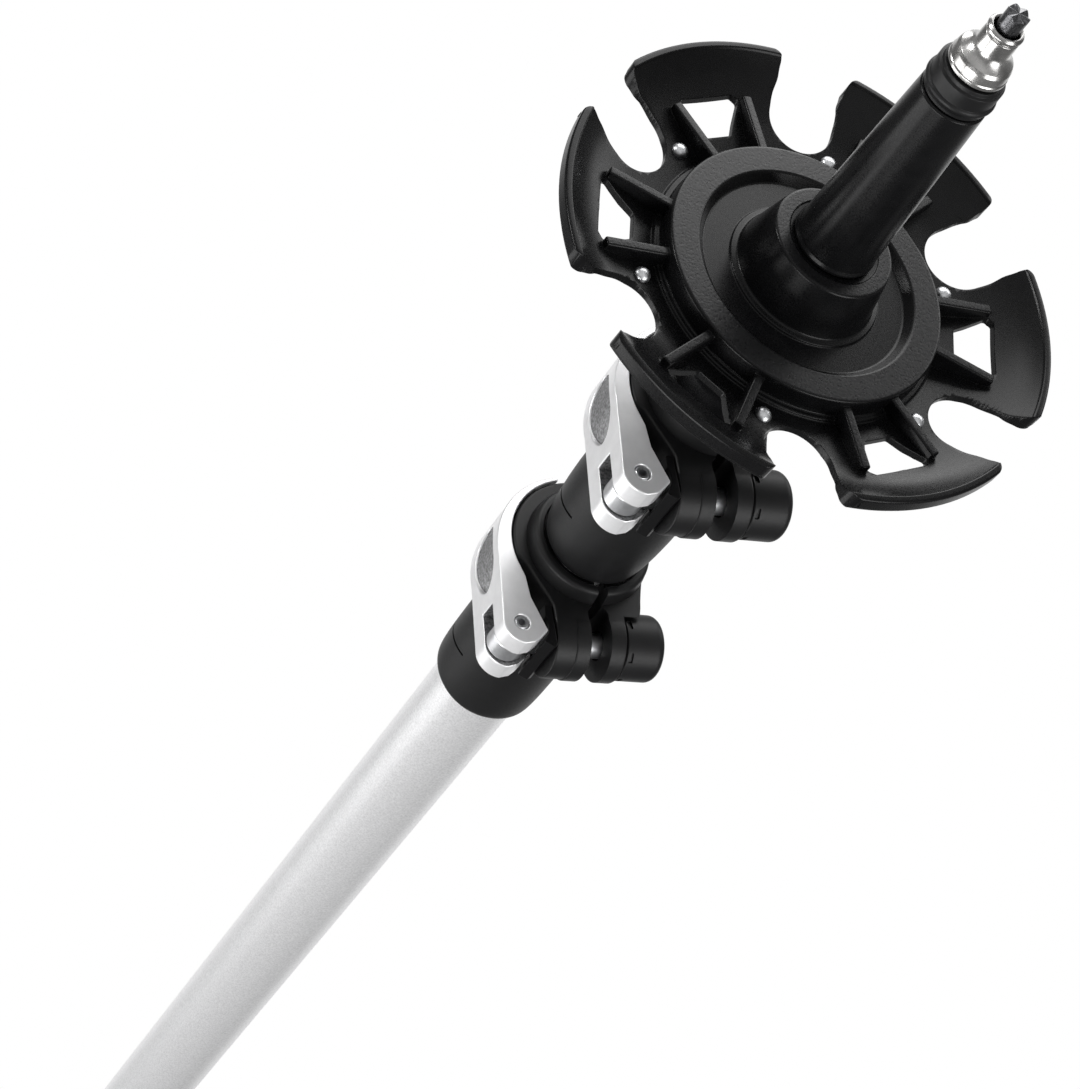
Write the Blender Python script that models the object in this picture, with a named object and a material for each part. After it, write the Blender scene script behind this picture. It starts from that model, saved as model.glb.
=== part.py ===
"""Nordic walking pole with two lever clamps and a snow basket, pushed together to its shortest.

The pole stands upright: its tip is at the origin and +Z runs up the shaft.
The ears of both clamps face -Y, their levers lie on the +X side and their thumb nuts on the -X side.

The feature that takes the most skill is the lever clamp, which is open to view: a split nylon barrel
with two ears, an eye bolt through them, and a forked aluminium cam lever that turns on a pin in the
bolt's eye and presses on a curved saddle. The six-petal snow basket comes next.
"""

import math

import bmesh
import bpy
from mathutils import Matrix, Vector

MM = 0.001

# Gaps between pieces
GAP = 0.3 * MM
SLIDING_GAP = 0.3 * MM

# Telescopic tubes: each slides in the next thicker one
UPPER_TUBE_OD = 18.0 * MM
TUBE_WALL = 0.7 * MM
MIDDLE_TUBE_OD = UPPER_TUBE_OD - 2 * (TUBE_WALL + SLIDING_GAP)
LOWER_TUBE_OD = MIDDLE_TUBE_OD - 2 * (TUBE_WALL + SLIDING_GAP)
LOWER_CLAMP_Z = 112.6 * MM
POLE_LENGTH = 710.0 * MM
LOWER_TUBE_TOP_DROP = 105.0 * MM
MIDDLE_TUBE_TOP_DROP = 65.0 * MM
UPPER_TUBE_TOP_DROP = 48.0 * MM

# Lever clamp
CLAMP_HALF_HEIGHT = 6.8 * MM
BARREL_LENGTH = 42.4 * MM
BARREL_WALL = 2.2 * MM
BARREL_R = UPPER_TUBE_OD / 2 + BARREL_WALL
BARREL_END_WALL = 1.0 * MM
BARREL_CURVE_START = 0.55
COLLAR_RISE = 2.7 * MM
COLLAR_R = BARREL_R + COLLAR_RISE
COLLAR_BACK_RISE = 1.2 * MM
COLLAR_BACK_R = BARREL_R + COLLAR_BACK_RISE
LIP_LENGTH = 3.5 * MM
LIP_RISE = 1.0 * MM
LIP_R = BARREL_R + LIP_RISE
LIP_RECESS_DEPTH = 1.2 * MM
LIP_RECESS_GAP = 0.6 * MM
LIP_RECESS_R = MIDDLE_TUBE_OD / 2 + SLIDING_GAP + BARREL_END_WALL + LIP_RECESS_GAP
BARREL_END_GAP = 0.9 * MM
TUBE_STOP_Z = 8.5 * MM
BOLT_REACH = 5.7 * MM
BOLT_Y = -(BARREL_R + BOLT_REACH)
BOLT_R = 2.5 * MM
BOLT_HOLE_GAP = 0.4 * MM
EAR_R = 7.0 * MM
EAR_OUTER_X = 9.0 * MM
NUT_SEAT_X = 5.3 * MM
EAR_SLOT = 4.2 * MM
LIP_SLOT = 1.6 * MM
EYE_R = 3.6 * MM
EYE_HALF_HEIGHT = 2.0 * MM
EYE_NECK_HALF = 1.7 * MM
PIN_R = 1.4 * MM
CAM_R = 4.5 * MM
CAM_OFFSET = 0.7 * MM
SADDLE_WALL = 1.2 * MM
PIN_X = EAR_OUTER_X + GAP + SADDLE_WALL + GAP + CAM_R + CAM_OFFSET
LEVER_WALL = 3.7 * MM
LEVER_TAIL_WALL = 0.75 * MM
LEVER_TAIL_ANGLE = 78.0
FORK_SLOT_OVER_EYE = 2.6 * MM
FORK_SLOT_TOP_Y = BOLT_Y + EYE_R + FORK_SLOT_OVER_EYE
LEVER_RECESS_DEPTH = 0.5 * MM
LEVER_RECESS_HALF = (7.0 * MM, 4.3 * MM)
NUT_R = 6.4 * MM
NUT_SEAT_GAP = 0.9 * MM
NUT_LENGTH = 8.4 * MM
NUT_END_WALL = 1.5 * MM
INSERT_ACROSS_FLATS = 7.4 * MM
INSERT_INSET = 0.5 * MM
INSERT_END_GAP = 0.8 * MM

# Tip: carbide, ferrule, end collar and plastic sleeve
CARBIDE_R = 1.95 * MM
CARBIDE_OUT = 3.3 * MM
CARBIDE_LENGTH = 11.0 * MM
CROWN_GROOVE_DEPTH = 0.9 * MM
FERRULE_NOSE_R = 3.1 * MM
FERRULE_BELL_R = 5.15 * MM
FERRULE_LENGTH = 9.4 * MM
FERRULE_STEM_R = 3.4 * MM
FERRULE_STEM_LENGTH = 11.0 * MM
COLLAR_RING_R = 5.85 * MM
COLLAR_BEAD_R = 6.2 * MM
COLLAR_RING_LENGTH = 6.0 * MM
SLEEVE_TIP_R = 5.9 * MM
SWAGE_STEP = 1.1 * MM
SWAGED_R = LOWER_TUBE_OD / 2 - SWAGE_STEP
SLEEVE_WALL = 0.9 * MM
SLEEVE_HUB_R = SWAGED_R + GAP + SLEEVE_WALL
SEAT_RISE = 0.25 * MM
SLEEVE_SEAT_R = SLEEVE_HUB_R + SEAT_RISE
BASKET_COLLAR_WALL = 1.5 * MM
CUP_GAP = 0.55 * MM
CUP_WALL = 1.3 * MM
CUP_R = SLEEVE_SEAT_R + GAP + BASKET_COLLAR_WALL + CUP_GAP + CUP_WALL
CUP_DEPTH = 8.0 * MM
CUP_FLARE = 6.5 * MM
NECK_RISE = 0.5 * MM
NECK_R = LOWER_TUBE_OD / 2 + NECK_RISE
NECK_LENGTH = 5.7 * MM

# Snow basket
BASKET_SETBACK = 16.0 * MM
BASKET_R = 46.0 * MM
PETAL_COUNT = 6
PETAL_ANGLE = 14.2
HUB_RISE = 7.4 * MM
HUB_TOP_WALL = 2.85 * MM
HUB_TOP_R = SLEEVE_SEAT_R + GAP + HUB_TOP_WALL
HUB_BASE_SPREAD = 2.8 * MM
HUB_BASE_R = HUB_TOP_R + HUB_BASE_SPREAD
RING_INNER_R = 20.9 * MM
RING_OUTER_R = 25.4 * MM
DISH_DEPTH = 2.0 * MM
PLATE_DROP = 3.4 * MM
PLATE_WALL = 1.8 * MM
RIM_WALL = 1.5 * MM
RIM_RISE = 1.1 * MM
RIM_HEIGHT = 3.4 * MM
NOTCH_R = 7.0 * MM
NOTCH_DEPTH = 16.7 * MM
NOTCH_ROOT = BASKET_R - NOTCH_DEPTH
NOTCH_MOUTH = 13.2 * MM
RIB_WALL = 1.8 * MM
RIB_HALF_ANGLE = 11.8
RIM_BAND = 7.3 * MM
RIB_END_R = BASKET_R - RIM_BAND
RIB_DROP = 0.6 * MM
WINDOW_FROM_RING = 3.2 * MM
WINDOW_INNER_R = RING_OUTER_R + WINDOW_FROM_RING
WINDOW_TO_RIB_END = 0.9 * MM
WINDOW_OUTER_R = RIB_END_R - WINDOW_TO_RIB_END
PIP_R = 1.6 * MM
PIP_FROM_RING = 4.4 * MM
PIP_PLACE_R = RING_OUTER_R + PIP_FROM_RING
PIP_ANGLE = -19.3

# Grip, cap, strap and wedge
GRIP_HEAD_LENGTH = 100.0 * MM
GRIP_SLEEVE_LENGTH = 122.0 * MM
GRIP_SLEEVE_R = 13.6 * MM
GRIP_SLEEVE_GROOVES = 6
GROOVE_DEPTH = 0.9 * MM
CAP_HEIGHT = 3.6 * MM
STRAP_WIDTH = 22.0 * MM
STRAP_THICKNESS = 1.8 * MM
STRAP_DROP = 140.0 * MM
STRAP_INNER_Y = 24.0 * MM
STRAP_OUTER_Y = 41.0 * MM
POCKET_FLOOR_DROP = 30.0 * MM
POCKET_HEIGHT = 17.0 * MM
POCKET_DEPTH_Y = 8.0 * MM
WEDGE_HEIGHT = 6.5 * MM

# Stations that follow from the sizes above
CLAMP_PITCH = BARREL_LENGTH + BARREL_END_GAP + CLAMP_HALF_HEIGHT + LIP_LENGTH - LIP_RECESS_DEPTH
UPPER_CLAMP_Z = LOWER_CLAMP_Z + CLAMP_PITCH
FERRULE_Z = CARBIDE_OUT
BELL_END_Z = FERRULE_Z + FERRULE_LENGTH
RING_Z = BELL_END_Z + GAP
SLEEVE_Z = RING_Z + COLLAR_RING_LENGTH + GAP
NECK_END_Z = LOWER_CLAMP_Z - CLAMP_HALF_HEIGHT - LIP_LENGTH + LIP_RECESS_DEPTH - GAP
CUP_FLOOR_Z = NECK_END_Z - NECK_LENGTH - CUP_FLARE
CUP_RIM_Z = CUP_FLOOR_Z - CUP_DEPTH
BASKET_FACE_Z = CUP_RIM_Z - BASKET_SETBACK
HUB_TOP_Z = BASKET_FACE_Z - HUB_RISE
GRIP_HEAD_Z = POLE_LENGTH - GRIP_HEAD_LENGTH
GRIP_SLEEVE_Z = GRIP_HEAD_Z - GAP - GRIP_SLEEVE_LENGTH
STEPS = 28


def clear_scene():
    for item in list(bpy.data.objects):
        bpy.data.objects.remove(item, do_unlink=True)


def linear(hex_colour):
    """Turns an sRGB hex colour into the linear values of a shader."""
    parts = [int(hex_colour[i:i + 2], 16) / 255 for i in (1, 3, 5)]
    return [v / 12.92 if v <= 0.04045 else ((v + 0.055) / 1.055) ** 2.4 for v in parts] + [1.0]


def make_material(name, hex_colour, roughness, metallic=0.0):
    material = bpy.data.materials.new(name)
    material.use_nodes = True
    shader = material.node_tree.nodes["Principled BSDF"]
    shader.inputs["Base Color"].default_value = linear(hex_colour)
    shader.inputs["Roughness"].default_value = roughness
    shader.inputs["Metallic"].default_value = metallic
    return material


def link_mesh(name, bm, material=None):
    """Turns a bmesh into a named object whose faces point outwards."""
    bmesh.ops.remove_doubles(bm, verts=bm.verts[:], dist=1e-7)
    bmesh.ops.recalc_face_normals(bm, faces=bm.faces[:])
    mesh = bpy.data.meshes.new(name)
    bm.to_mesh(mesh)
    bm.free()
    mesh.shade_smooth()
    mesh.set_sharp_from_angle(angle=math.radians(32))
    if material:
        mesh.materials.append(material)
    item = bpy.data.objects.new(name, mesh)
    bpy.context.scene.collection.objects.link(item)
    return item


def arc(centre, radius, start, end, count):
    """Points along an arc, angles in degrees, both ends included."""
    angles = [math.radians(start + (end - start) * i / count) for i in range(count + 1)]
    return [(centre[0] + radius * math.cos(a), centre[1] + radius * math.sin(a)) for a in angles]


def turned(name, profile, material=None, steps=STEPS, axis="Z"):
    """Spins a closed profile of (radius, station) points once round the axis."""
    bm = bmesh.new()
    points = [bm.verts.new((r, 0, z)) for r, z in profile]
    edges = []
    for i, point in enumerate(points):
        after = points[(i + 1) % len(points)]
        if profile[i][0] > 1e-9 or profile[(i + 1) % len(points)][0] > 1e-9:
            edges.append(bm.edges.new((point, after)))
    bmesh.ops.spin(bm, geom=points + edges, cent=(0, 0, 0), axis=(0, 0, 1), dvec=(0, 0, 0),
                   angle=2 * math.pi, steps=steps, use_merge=True)
    if axis == "X":
        bmesh.ops.transform(bm, matrix=Matrix.Rotation(math.radians(90), 4, "Y"), verts=bm.verts[:])
    return link_mesh(name, bm, material)


def extruded(name, outline, low, high, material=None, plane="XY"):
    """Extrudes a flat outline between two heights, along the axis that the plane leaves out."""
    places = {"XY": lambda a, b, h: (a, b, h), "YZ": lambda a, b, h: (h, a, b), "XZ": lambda a, b, h: (a, h, b)}
    bm = bmesh.new()
    face = bm.faces.new([bm.verts.new(places[plane](a, b, low)) for a, b in outline])
    raised = bmesh.ops.extrude_face_region(bm, geom=[face])["geom"]
    shift = Vector(places[plane](0, 0, high - low))
    bmesh.ops.translate(bm, vec=shift, verts=[v for v in raised if isinstance(v, bmesh.types.BMVert)])
    return link_mesh(name, bm, material)


def box(name, low, high, material=None):
    outline = [(low[0], low[1]), (high[0], low[1]), (high[0], high[1]), (low[0], high[1])]
    return extruded(name, outline, low[2], high[2], material)


def rod(name, radius, low, high, axis, centre=(0, 0, 0), steps=24, material=None):
    """A plain round rod between two stations of one axis, through the given centre."""
    outline = arc((0, 0), radius, 0, 360 - 360 / steps, steps - 1)
    plane = {"X": "YZ", "Y": "XZ", "Z": "XY"}[axis]
    item = extruded(name, outline, low, high, material, plane)
    item.data.transform(Matrix.Translation(centre))
    return item


def combine(item, other, operation):
    """Joins, cuts or intersects an object with a hidden helper shape."""
    other.hide_render = True
    other.display_type = "WIRE"
    modifier = item.modifiers.new(f"{operation.lower()}_{other.name}", "BOOLEAN")
    modifier.operation = operation
    modifier.solver = "EXACT"
    modifier.object = other
    return item


def lofted(name, rings, material=None):
    """Skins a stack of closed rings, each a list of 3-D points, and closes both ends."""
    bm = bmesh.new()
    loops = [[bm.verts.new(point) for point in ring] for ring in rings]
    count = len(loops[0])
    for lower, upper in zip(loops, loops[1:]):
        for i in range(count):
            j = (i + 1) % count
            bm.faces.new((lower[i], lower[j], upper[j], upper[i]))
    bm.faces.new(list(reversed(loops[0])))
    bm.faces.new(loops[-1])
    return link_mesh(name, bm, material)


def tube(name, outer_diameter, bottom, top, material):
    """A plain drawn tube; its lower end is cut square."""
    outer = outer_diameter / 2
    inner = outer - TUBE_WALL
    return turned(name, [(inner, bottom), (outer, bottom), (outer, top), (inner, top)], material)


def end_plug(name, outer_diameter, tube_top, material):
    """The plastic plug that closes a tube's inner end and guides it in the next tube."""
    flange_r = outer_diameter / 2
    stem_r = flange_r - TUBE_WALL - GAP
    flange = 5.0 * MM
    stem = 14.0 * MM
    chamfer = 1.0 * MM
    low = tube_top + GAP
    profile = [(0, low - stem), (stem_r - chamfer, low - stem), (stem_r, low - stem + chamfer), (stem_r, low),
               (flange_r, low), (flange_r, low + flange - chamfer), (flange_r - chamfer, low + flange),
               (0, low + flange)]
    return turned(name, profile, material, steps=32)


def clamp_outline():
    """The clamp seen along the pole: a round collar that runs out into the block of the two ears."""
    ear_end = BOLT_Y - EAR_R - 1 * MM
    lever_side = arc((0, 0), COLLAR_R, -10, 110, 18)
    back = arc((0, 0), COLLAR_BACK_R, 126, 182, 8)
    knob_flank = [(0.9 * MM - COLLAR_BACK_R, -3.4 * MM), (2.2 * MM - COLLAR_BACK_R, BOLT_Y + 8.7 * MM),
                  (-EAR_OUTER_X - 0.4 * MM, BOLT_Y + 4.8 * MM), (-EAR_OUTER_X, BOLT_Y + 3.3 * MM)]
    lever_flank = [(EAR_OUTER_X, BOLT_Y + 3.9 * MM), (COLLAR_R - 3.3 * MM, BOLT_Y + 7.6 * MM),
                   (COLLAR_R - 1.5 * MM, BOLT_Y + 11.3 * MM)]
    return [(EAR_OUTER_X, ear_end)] + lever_flank + lever_side + back + knob_flank + [(-EAR_OUTER_X, ear_end)]


def slot_outline():
    """The slit that lets the ears close: narrow through the wall, then a wide gap with a rounded head."""
    wide, narrow = EAR_SLOT / 2, LIP_SLOT / 2
    head_y = BOLT_Y + 2.6 * MM
    end_y = BOLT_Y - 2 * EAR_R
    right = arc((0, head_y), wide, 62, 0, 5)
    left = arc((0, head_y), wide, 180, 118, 5)
    return [(narrow, 0)] + right[:] + [(wide, end_y), (-wide, end_y)] + left + [(-narrow, 0)]


def clamp_body(name, tube_od, inner_od, centre_z, bluntness, material):
    """The split nylon barrel: it holds the thicker tube's end and squeezes the thinner tube.

    Bluntness rounds the barrel's end: 2 gives an even curve, more keeps it full up to the end.
    """
    outer_bore = tube_od / 2 + SLIDING_GAP
    inner_bore = inner_od / 2 + SLIDING_GAP
    half = CLAMP_HALF_HEIGHT
    lip_z = -half - LIP_LENGTH
    end_r = outer_bore + BARREL_END_WALL
    body = extruded(name, clamp_outline(), -half, half, material)
    ear_side = [(COLLAR_R + 1 * MM, half + 1 * MM), (COLLAR_R + 1 * MM, -half - 1 * MM)] \
        + arc((BOLT_Y, 0), EAR_R, -90, -270, 18)
    combine(body, extruded(f"{name}_side", ear_side, -COLLAR_R - MM, COLLAR_R + MM, plane="YZ"), "INTERSECT")
    shoulder = 1.3 * MM
    shell = [(inner_bore - MM, lip_z), (LIP_R - 2.0 * MM, lip_z), (LIP_R - 0.9 * MM, lip_z + 0.5 * MM),
             (LIP_R - 0.3 * MM, lip_z + 1.6 * MM), (LIP_R, -half - 0.5 * MM), (LIP_R, 0),
             (BARREL_R + shoulder, 0), (BARREL_R + shoulder, half - 0.6 * MM),
             (BARREL_R + 0.5 * shoulder, half + 0.5 * MM), (BARREL_R + 0.1 * shoulder, half + 1.6 * MM),
             (BARREL_R, half + 3.5 * MM)]
    bulge = BARREL_R - end_r
    for step in range(7):
        share = step / 6
        station = BARREL_LENGTH * (BARREL_CURVE_START + (1 - BARREL_CURVE_START) * share ** 0.7)
        reach = (station / BARREL_LENGTH - BARREL_CURVE_START) / (1 - BARREL_CURVE_START)
        shell.append((end_r + bulge * (1 - reach ** bluntness) ** (1 / bluntness), station))
    shell.append((inner_bore - MM, BARREL_LENGTH))
    combine(body, turned(f"{name}_shell", shell), "UNION")
    mouth = lip_z + LIP_RECESS_DEPTH
    bore = [(0, lip_z - MM), (LIP_RECESS_R, lip_z - MM), (LIP_RECESS_R, mouth), (inner_bore, mouth),
            (inner_bore, TUBE_STOP_Z), (outer_bore, TUBE_STOP_Z), (outer_bore, BARREL_LENGTH + MM),
            (0, BARREL_LENGTH + MM)]
    combine(body, turned(f"{name}_bore", bore), "DIFFERENCE")
    combine(body, extruded(f"{name}_slot", slot_outline(), lip_z - MM, half + 4.5 * MM), "DIFFERENCE")
    hole = rod(f"{name}_hole", BOLT_R + BOLT_HOLE_GAP, -COLLAR_R, COLLAR_R, "X", (0, BOLT_Y, 0))
    combine(body, hole, "DIFFERENCE")
    spot = rod(f"{name}_spot", NUT_R + NUT_SEAT_GAP, -2 * COLLAR_R, -NUT_SEAT_X, "X", (0, BOLT_Y, 0), 28)
    combine(body, spot, "DIFFERENCE")
    sector = arc((0, 0), BARREL_R + MM, -20, 215, 30) + arc((0, 0), BARREL_R - 0.5 * MM, 215, -20, 30)
    groove = extruded(f"{name}_groove", sector, -0.25 * MM, 0.25 * MM)
    groove.data.transform(Matrix.Rotation(math.radians(5), 4, "X"))
    groove.data.transform(Matrix.Translation((0, 0, 31.5 * MM)))
    combine(body, groove, "DIFFERENCE")
    for helper in (item for item in list(bpy.data.objects) if item.name.startswith(f"{name}_")):
        if helper.parent is None:
            helper.parent = body
    body.location.z = centre_z
    return body


def eye_bolt(name, centre_z, material):
    """The bolt through both ears: a round eye for the lever's pin, and a shank that the nut screws on."""
    shank_end = -(NUT_SEAT_X + NUT_LENGTH - NUT_END_WALL)
    bolt = rod(name, EYE_R, -EYE_HALF_HEIGHT, EYE_HALF_HEIGHT, "Z", (PIN_X, BOLT_Y, 0), 28, material)
    shank_top = EAR_OUTER_X + GAP + 0.7 * MM
    chamfer = 0.6 * MM
    shank_profile = [(0, shank_end), (BOLT_R - chamfer, shank_end), (BOLT_R, shank_end + chamfer),
                     (BOLT_R, shank_top), (0, shank_top)]
    shank = turned(f"{name}_shank", shank_profile, steps=24, axis="X")
    shank.data.transform(Matrix.Translation((0, BOLT_Y, 0)))
    neck = box(f"{name}_neck", (shank_top - MM, BOLT_Y - EYE_NECK_HALF, -EYE_HALF_HEIGHT),
               (PIN_X - PIN_R - MM, BOLT_Y + EYE_NECK_HALF, EYE_HALF_HEIGHT))
    combine(bolt, neck, "UNION")
    combine(bolt, shank, "UNION")
    hole = rod(f"{name}_eye", PIN_R + GAP, -EYE_R, EYE_R, "Z", (PIN_X, BOLT_Y, 0), 20)
    combine(bolt, hole, "DIFFERENCE")
    neck.parent = shank.parent = hole.parent = bolt
    bolt.location.z = centre_z
    return bolt


def cam_centre():
    return PIN_X - CAM_OFFSET, BOLT_Y


def cam_saddle(name, centre_z, material):
    """The curved pad between the lever's cam and the ear."""
    cx, cy = cam_centre()
    flat_x = EAR_OUTER_X + GAP
    hollow_r = cx - flat_x - SADDLE_WALL
    hollow = arc((cx, cy), hollow_r, 158, 222, 10)
    outline = [(flat_x, cy + 4.2 * MM), (flat_x, cy - 5.6 * MM), (flat_x + 1.0 * MM, cy - 6.2 * MM),
               (hollow[-1][0] + 0.4 * MM, hollow[-1][1] - 0.9 * MM)] + list(reversed(hollow)) \
        + [(hollow[0][0] - 0.2 * MM, cy + 4.2 * MM)]
    outline = list(reversed(outline))
    pad = extruded(name, outline, -CLAMP_HALF_HEIGHT + GAP, CLAMP_HALF_HEIGHT - GAP, material)
    hole = rod(f"{name}_hole", BOLT_R + BOLT_HOLE_GAP, 0, 2 * cx, "X", (0, BOLT_Y, 0))
    combine(pad, hole, "DIFFERENCE")
    hole.parent = pad
    pad.location.z = centre_z
    return pad


def lever_back():
    """Centre, radius and end angle of the arc of the lever's back."""
    tail = math.radians(LEVER_TAIL_ANGLE)
    side_x = COLLAR_R + GAP + LEVER_WALL + 0.5 * MM
    tail_r = COLLAR_R + GAP + LEVER_TAIL_WALL
    tail_point = Vector((tail_r * math.cos(tail), tail_r * math.sin(tail)))
    side_point = Vector((side_x, -2.2 * MM))
    chord = tail_point - side_point
    back_r = chord.length_squared / (2 * abs(chord.x))
    centre = (side_x - back_r, side_point.y)
    end_angle = math.degrees(math.atan2(tail_point.y - centre[1], tail_point.x - centre[0]))
    return centre, back_r, end_angle


def lever_outline():
    """The lever seen along the pole: cam at the ears, thick back, thin tail round the collar."""
    cx, cy = cam_centre()
    centre, back_r, end_angle = lever_back()
    outer = arc(centre, back_r, 0, end_angle, 16)
    inner = arc((0, 0), COLLAR_R + GAP, LEVER_TAIL_ANGLE, -14, 16)
    cam = arc((cx, cy), CAM_R, 152, 370, 20)
    return outer + inner + [(COLLAR_R - 0.8 * MM, BOLT_Y + 5.7 * MM)] + cam


def lever(name, centre_z, material):
    """The forked aluminium lever, lying closed round the collar."""
    half = CLAMP_HALF_HEIGHT
    arm = extruded(name, lever_outline(), -half, half, material)
    slot_half = EYE_HALF_HEIGHT + GAP
    fork = box(f"{name}_fork", (0, BOLT_Y - 3 * CAM_R, -slot_half), (2 * PIN_X, FORK_SLOT_TOP_Y, slot_half))
    combine(arm, fork, "DIFFERENCE")
    hole = rod(f"{name}_hole", PIN_R + GAP, -half - MM, half + MM, "Z", (PIN_X, BOLT_Y, 0), 20)
    combine(arm, hole, "DIFFERENCE")
    half_y, half_z = LEVER_RECESS_HALF
    oval = [(half_y * math.cos(a), half_z * math.sin(a)) for a in (math.radians(15 * i) for i in range(24))]
    recess = extruded(f"{name}_recess", oval, 0, 2 * COLLAR_R, plane="YZ")
    centre, back_r, end_angle = lever_back()
    core_outline = arc(centre, back_r - LEVER_RECESS_DEPTH, -40, end_angle, 20) + [(-COLLAR_R, 0)]
    core = extruded(f"{name}_core", core_outline, -2 * half, 2 * half)
    combine(recess, core, "DIFFERENCE")
    combine(arm, recess, "DIFFERENCE")
    for helper in (fork, hole, recess, core):
        helper.parent = arm
    arm.location.z = centre_z
    return arm


def lever_pin(name, centre_z, material):
    """The pin that the lever turns on, with a small hexagon socket in its end towards the tip."""
    half = CLAMP_HALF_HEIGHT - 0.2 * MM
    pin = rod(name, PIN_R, -half, half, "Z", (PIN_X, BOLT_Y, 0), 20, material)
    socket = rod(f"{name}_socket", 0.75 * MM, -half - MM, -half + 1.2 * MM, "Z", (PIN_X, BOLT_Y, 0), 6)
    combine(pin, socket, "DIFFERENCE")
    socket.parent = pin
    pin.location.z = centre_z
    return pin


def thumb_nut(name, centre_z, material):
    """The moulded adjusting nut, closed at its far end, with a hexagon pocket for its insert."""
    start = NUT_SEAT_X + GAP
    end = start + NUT_LENGTH
    fillet = 1.8 * MM
    rounding = [(-(end - fillet) - fillet * math.sin(a), NUT_R - fillet + fillet * math.cos(a))
                for a in (math.radians(22.5 * i) for i in range(5))]
    profile = [(NUT_R - 0.3 * MM, -start), (NUT_R, -start - 0.3 * MM)] + [(r, x) for x, r in rounding] \
        + [(0, -end), (0, -start)]
    nut = turned(name, profile, material, steps=24, axis="X")
    pocket_r = (INSERT_ACROSS_FLATS / 2 + GAP) / math.cos(math.radians(30))
    pocket = rod(f"{name}_pocket", pocket_r, -end + NUT_END_WALL, -start + MM, "X", (0, 0, 0), 6)
    combine(nut, pocket, "DIFFERENCE")
    pocket.parent = nut
    for index in range(8):
        turn = Matrix.Rotation(math.radians(45 * index), 4, "X")
        notch = box(f"{name}_notch_{index}", (-start - 2.2 * MM, -0.6 * MM, NUT_R - 0.7 * MM),
                    (-start - 0.5 * MM, 0.6 * MM, NUT_R + MM))
        notch.data.transform(turn)
        combine(nut, notch, "DIFFERENCE")
        notch.parent = nut
    nut.location = (0, BOLT_Y, centre_z)
    return nut


def nut_insert(name, centre_z, material):
    """The brass hexagon insert that carries the nut's thread."""
    near = -(NUT_SEAT_X + GAP + INSERT_INSET)
    far = -(NUT_SEAT_X + GAP + NUT_LENGTH - NUT_END_WALL - INSERT_END_GAP)
    outer_r = INSERT_ACROSS_FLATS / 2 / math.cos(math.radians(30))
    insert = rod(name, outer_r, far, near, "X", (0, 0, 0), 6, material)
    hole = rod(f"{name}_thread", BOLT_R + GAP, far - MM, near + MM, "X", (0, 0, 0), 20)
    combine(insert, hole, "DIFFERENCE")
    hole.parent = insert
    insert.location = (0, BOLT_Y, centre_z)
    return insert


def lever_clamp(level, tube_od, inner_od, centre_z, bluntness, finishes):
    """One complete clamp; both on the pole are the same moulding."""
    clamp_body(f"{level}_clamp_body", tube_od, inner_od, centre_z, bluntness, finishes["nylon"])
    eye_bolt(f"{level}_eye_bolt", centre_z, finishes["steel"])
    cam_saddle(f"{level}_cam_saddle", centre_z, finishes["acetal"])
    lever(f"{level}_lever", centre_z, finishes["lever_aluminium"])
    lever_pin(f"{level}_lever_pin", centre_z, finishes["steel"])
    thumb_nut(f"{level}_thumb_nut", centre_z, finishes["nylon"])
    nut_insert(f"{level}_nut_insert", centre_z, finishes["brass"])


def carbide_tip(material):
    """The sintered rod whose end is ground into a crown of six teeth round flat lands."""
    tip = rod("carbide_tip", CARBIDE_R, 0, CARBIDE_LENGTH, "Z", steps=30, material=material)
    for index in range(6):
        turn = Matrix.Rotation(math.radians(60 * index + 30), 4, "Z")
        depth = CROWN_GROOVE_DEPTH
        wedge = extruded(f"crown_groove_{index}", [(-depth * 0.62, -0.2 * MM), (depth * 0.62, -0.2 * MM), (0, depth)],
                         0.25 * MM, 2 * CARBIDE_R, plane="XZ")
        wedge.data.transform(turn)
        combine(tip, wedge, "DIFFERENCE")
        wedge.parent = tip
    return tip


def tip_ferrule(material):
    """The nickel-plated bell that holds the carbide and runs into the sleeve with a stem."""
    nose, bell = FERRULE_NOSE_R, FERRULE_BELL_R
    z0 = FERRULE_Z
    flare = []
    for step in range(5):
        share = step / 4
        flare.append((nose + (bell - nose) * (1 - math.cos(share * math.pi / 2)) * 0.72,
                      z0 + 4.0 * MM + share * 2.2 * MM))
    shoulder = [(bell - 0.22 * MM, z0 + 6.9 * MM), (bell, z0 + 7.8 * MM), (bell, z0 + 8.9 * MM),
                (bell - 0.3 * MM, z0 + FERRULE_LENGTH)]
    bore_r = CARBIDE_R + GAP
    bore_end = CARBIDE_LENGTH + GAP
    stem_end = BELL_END_Z + FERRULE_STEM_LENGTH
    profile = [(bore_r, z0), (nose - 0.45 * MM, z0), (nose, z0 + 0.5 * MM)] + flare + shoulder \
        + [(FERRULE_STEM_R, BELL_END_Z), (FERRULE_STEM_R, stem_end), (0, stem_end), (0, bore_end), (bore_r, bore_end)]
    return turned("tip_ferrule", profile, material)


def tip_collar(material):
    """The ring between the ferrule and the sleeve, with a rounded bead next to the sleeve."""
    bore_r = FERRULE_STEM_R + GAP
    low, high = RING_Z, RING_Z + COLLAR_RING_LENGTH
    bead_z = high - 1.7 * MM
    profile = [(bore_r, low), (COLLAR_RING_R - 0.6 * MM, low), (COLLAR_RING_R - 0.5 * MM, low + 0.7 * MM),
               (COLLAR_RING_R, low + 0.9 * MM), (COLLAR_RING_R, bead_z - 1.7 * MM)]
    profile += arc((COLLAR_BEAD_R - 0.75 * MM, bead_z), 0.75 * MM, -62, 62, 4)
    profile += [(COLLAR_RING_R - 0.2 * MM, high - 0.5 * MM), (COLLAR_RING_R - 0.2 * MM, high), (bore_r, high)]
    return turned("tip_collar", profile, material)


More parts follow.
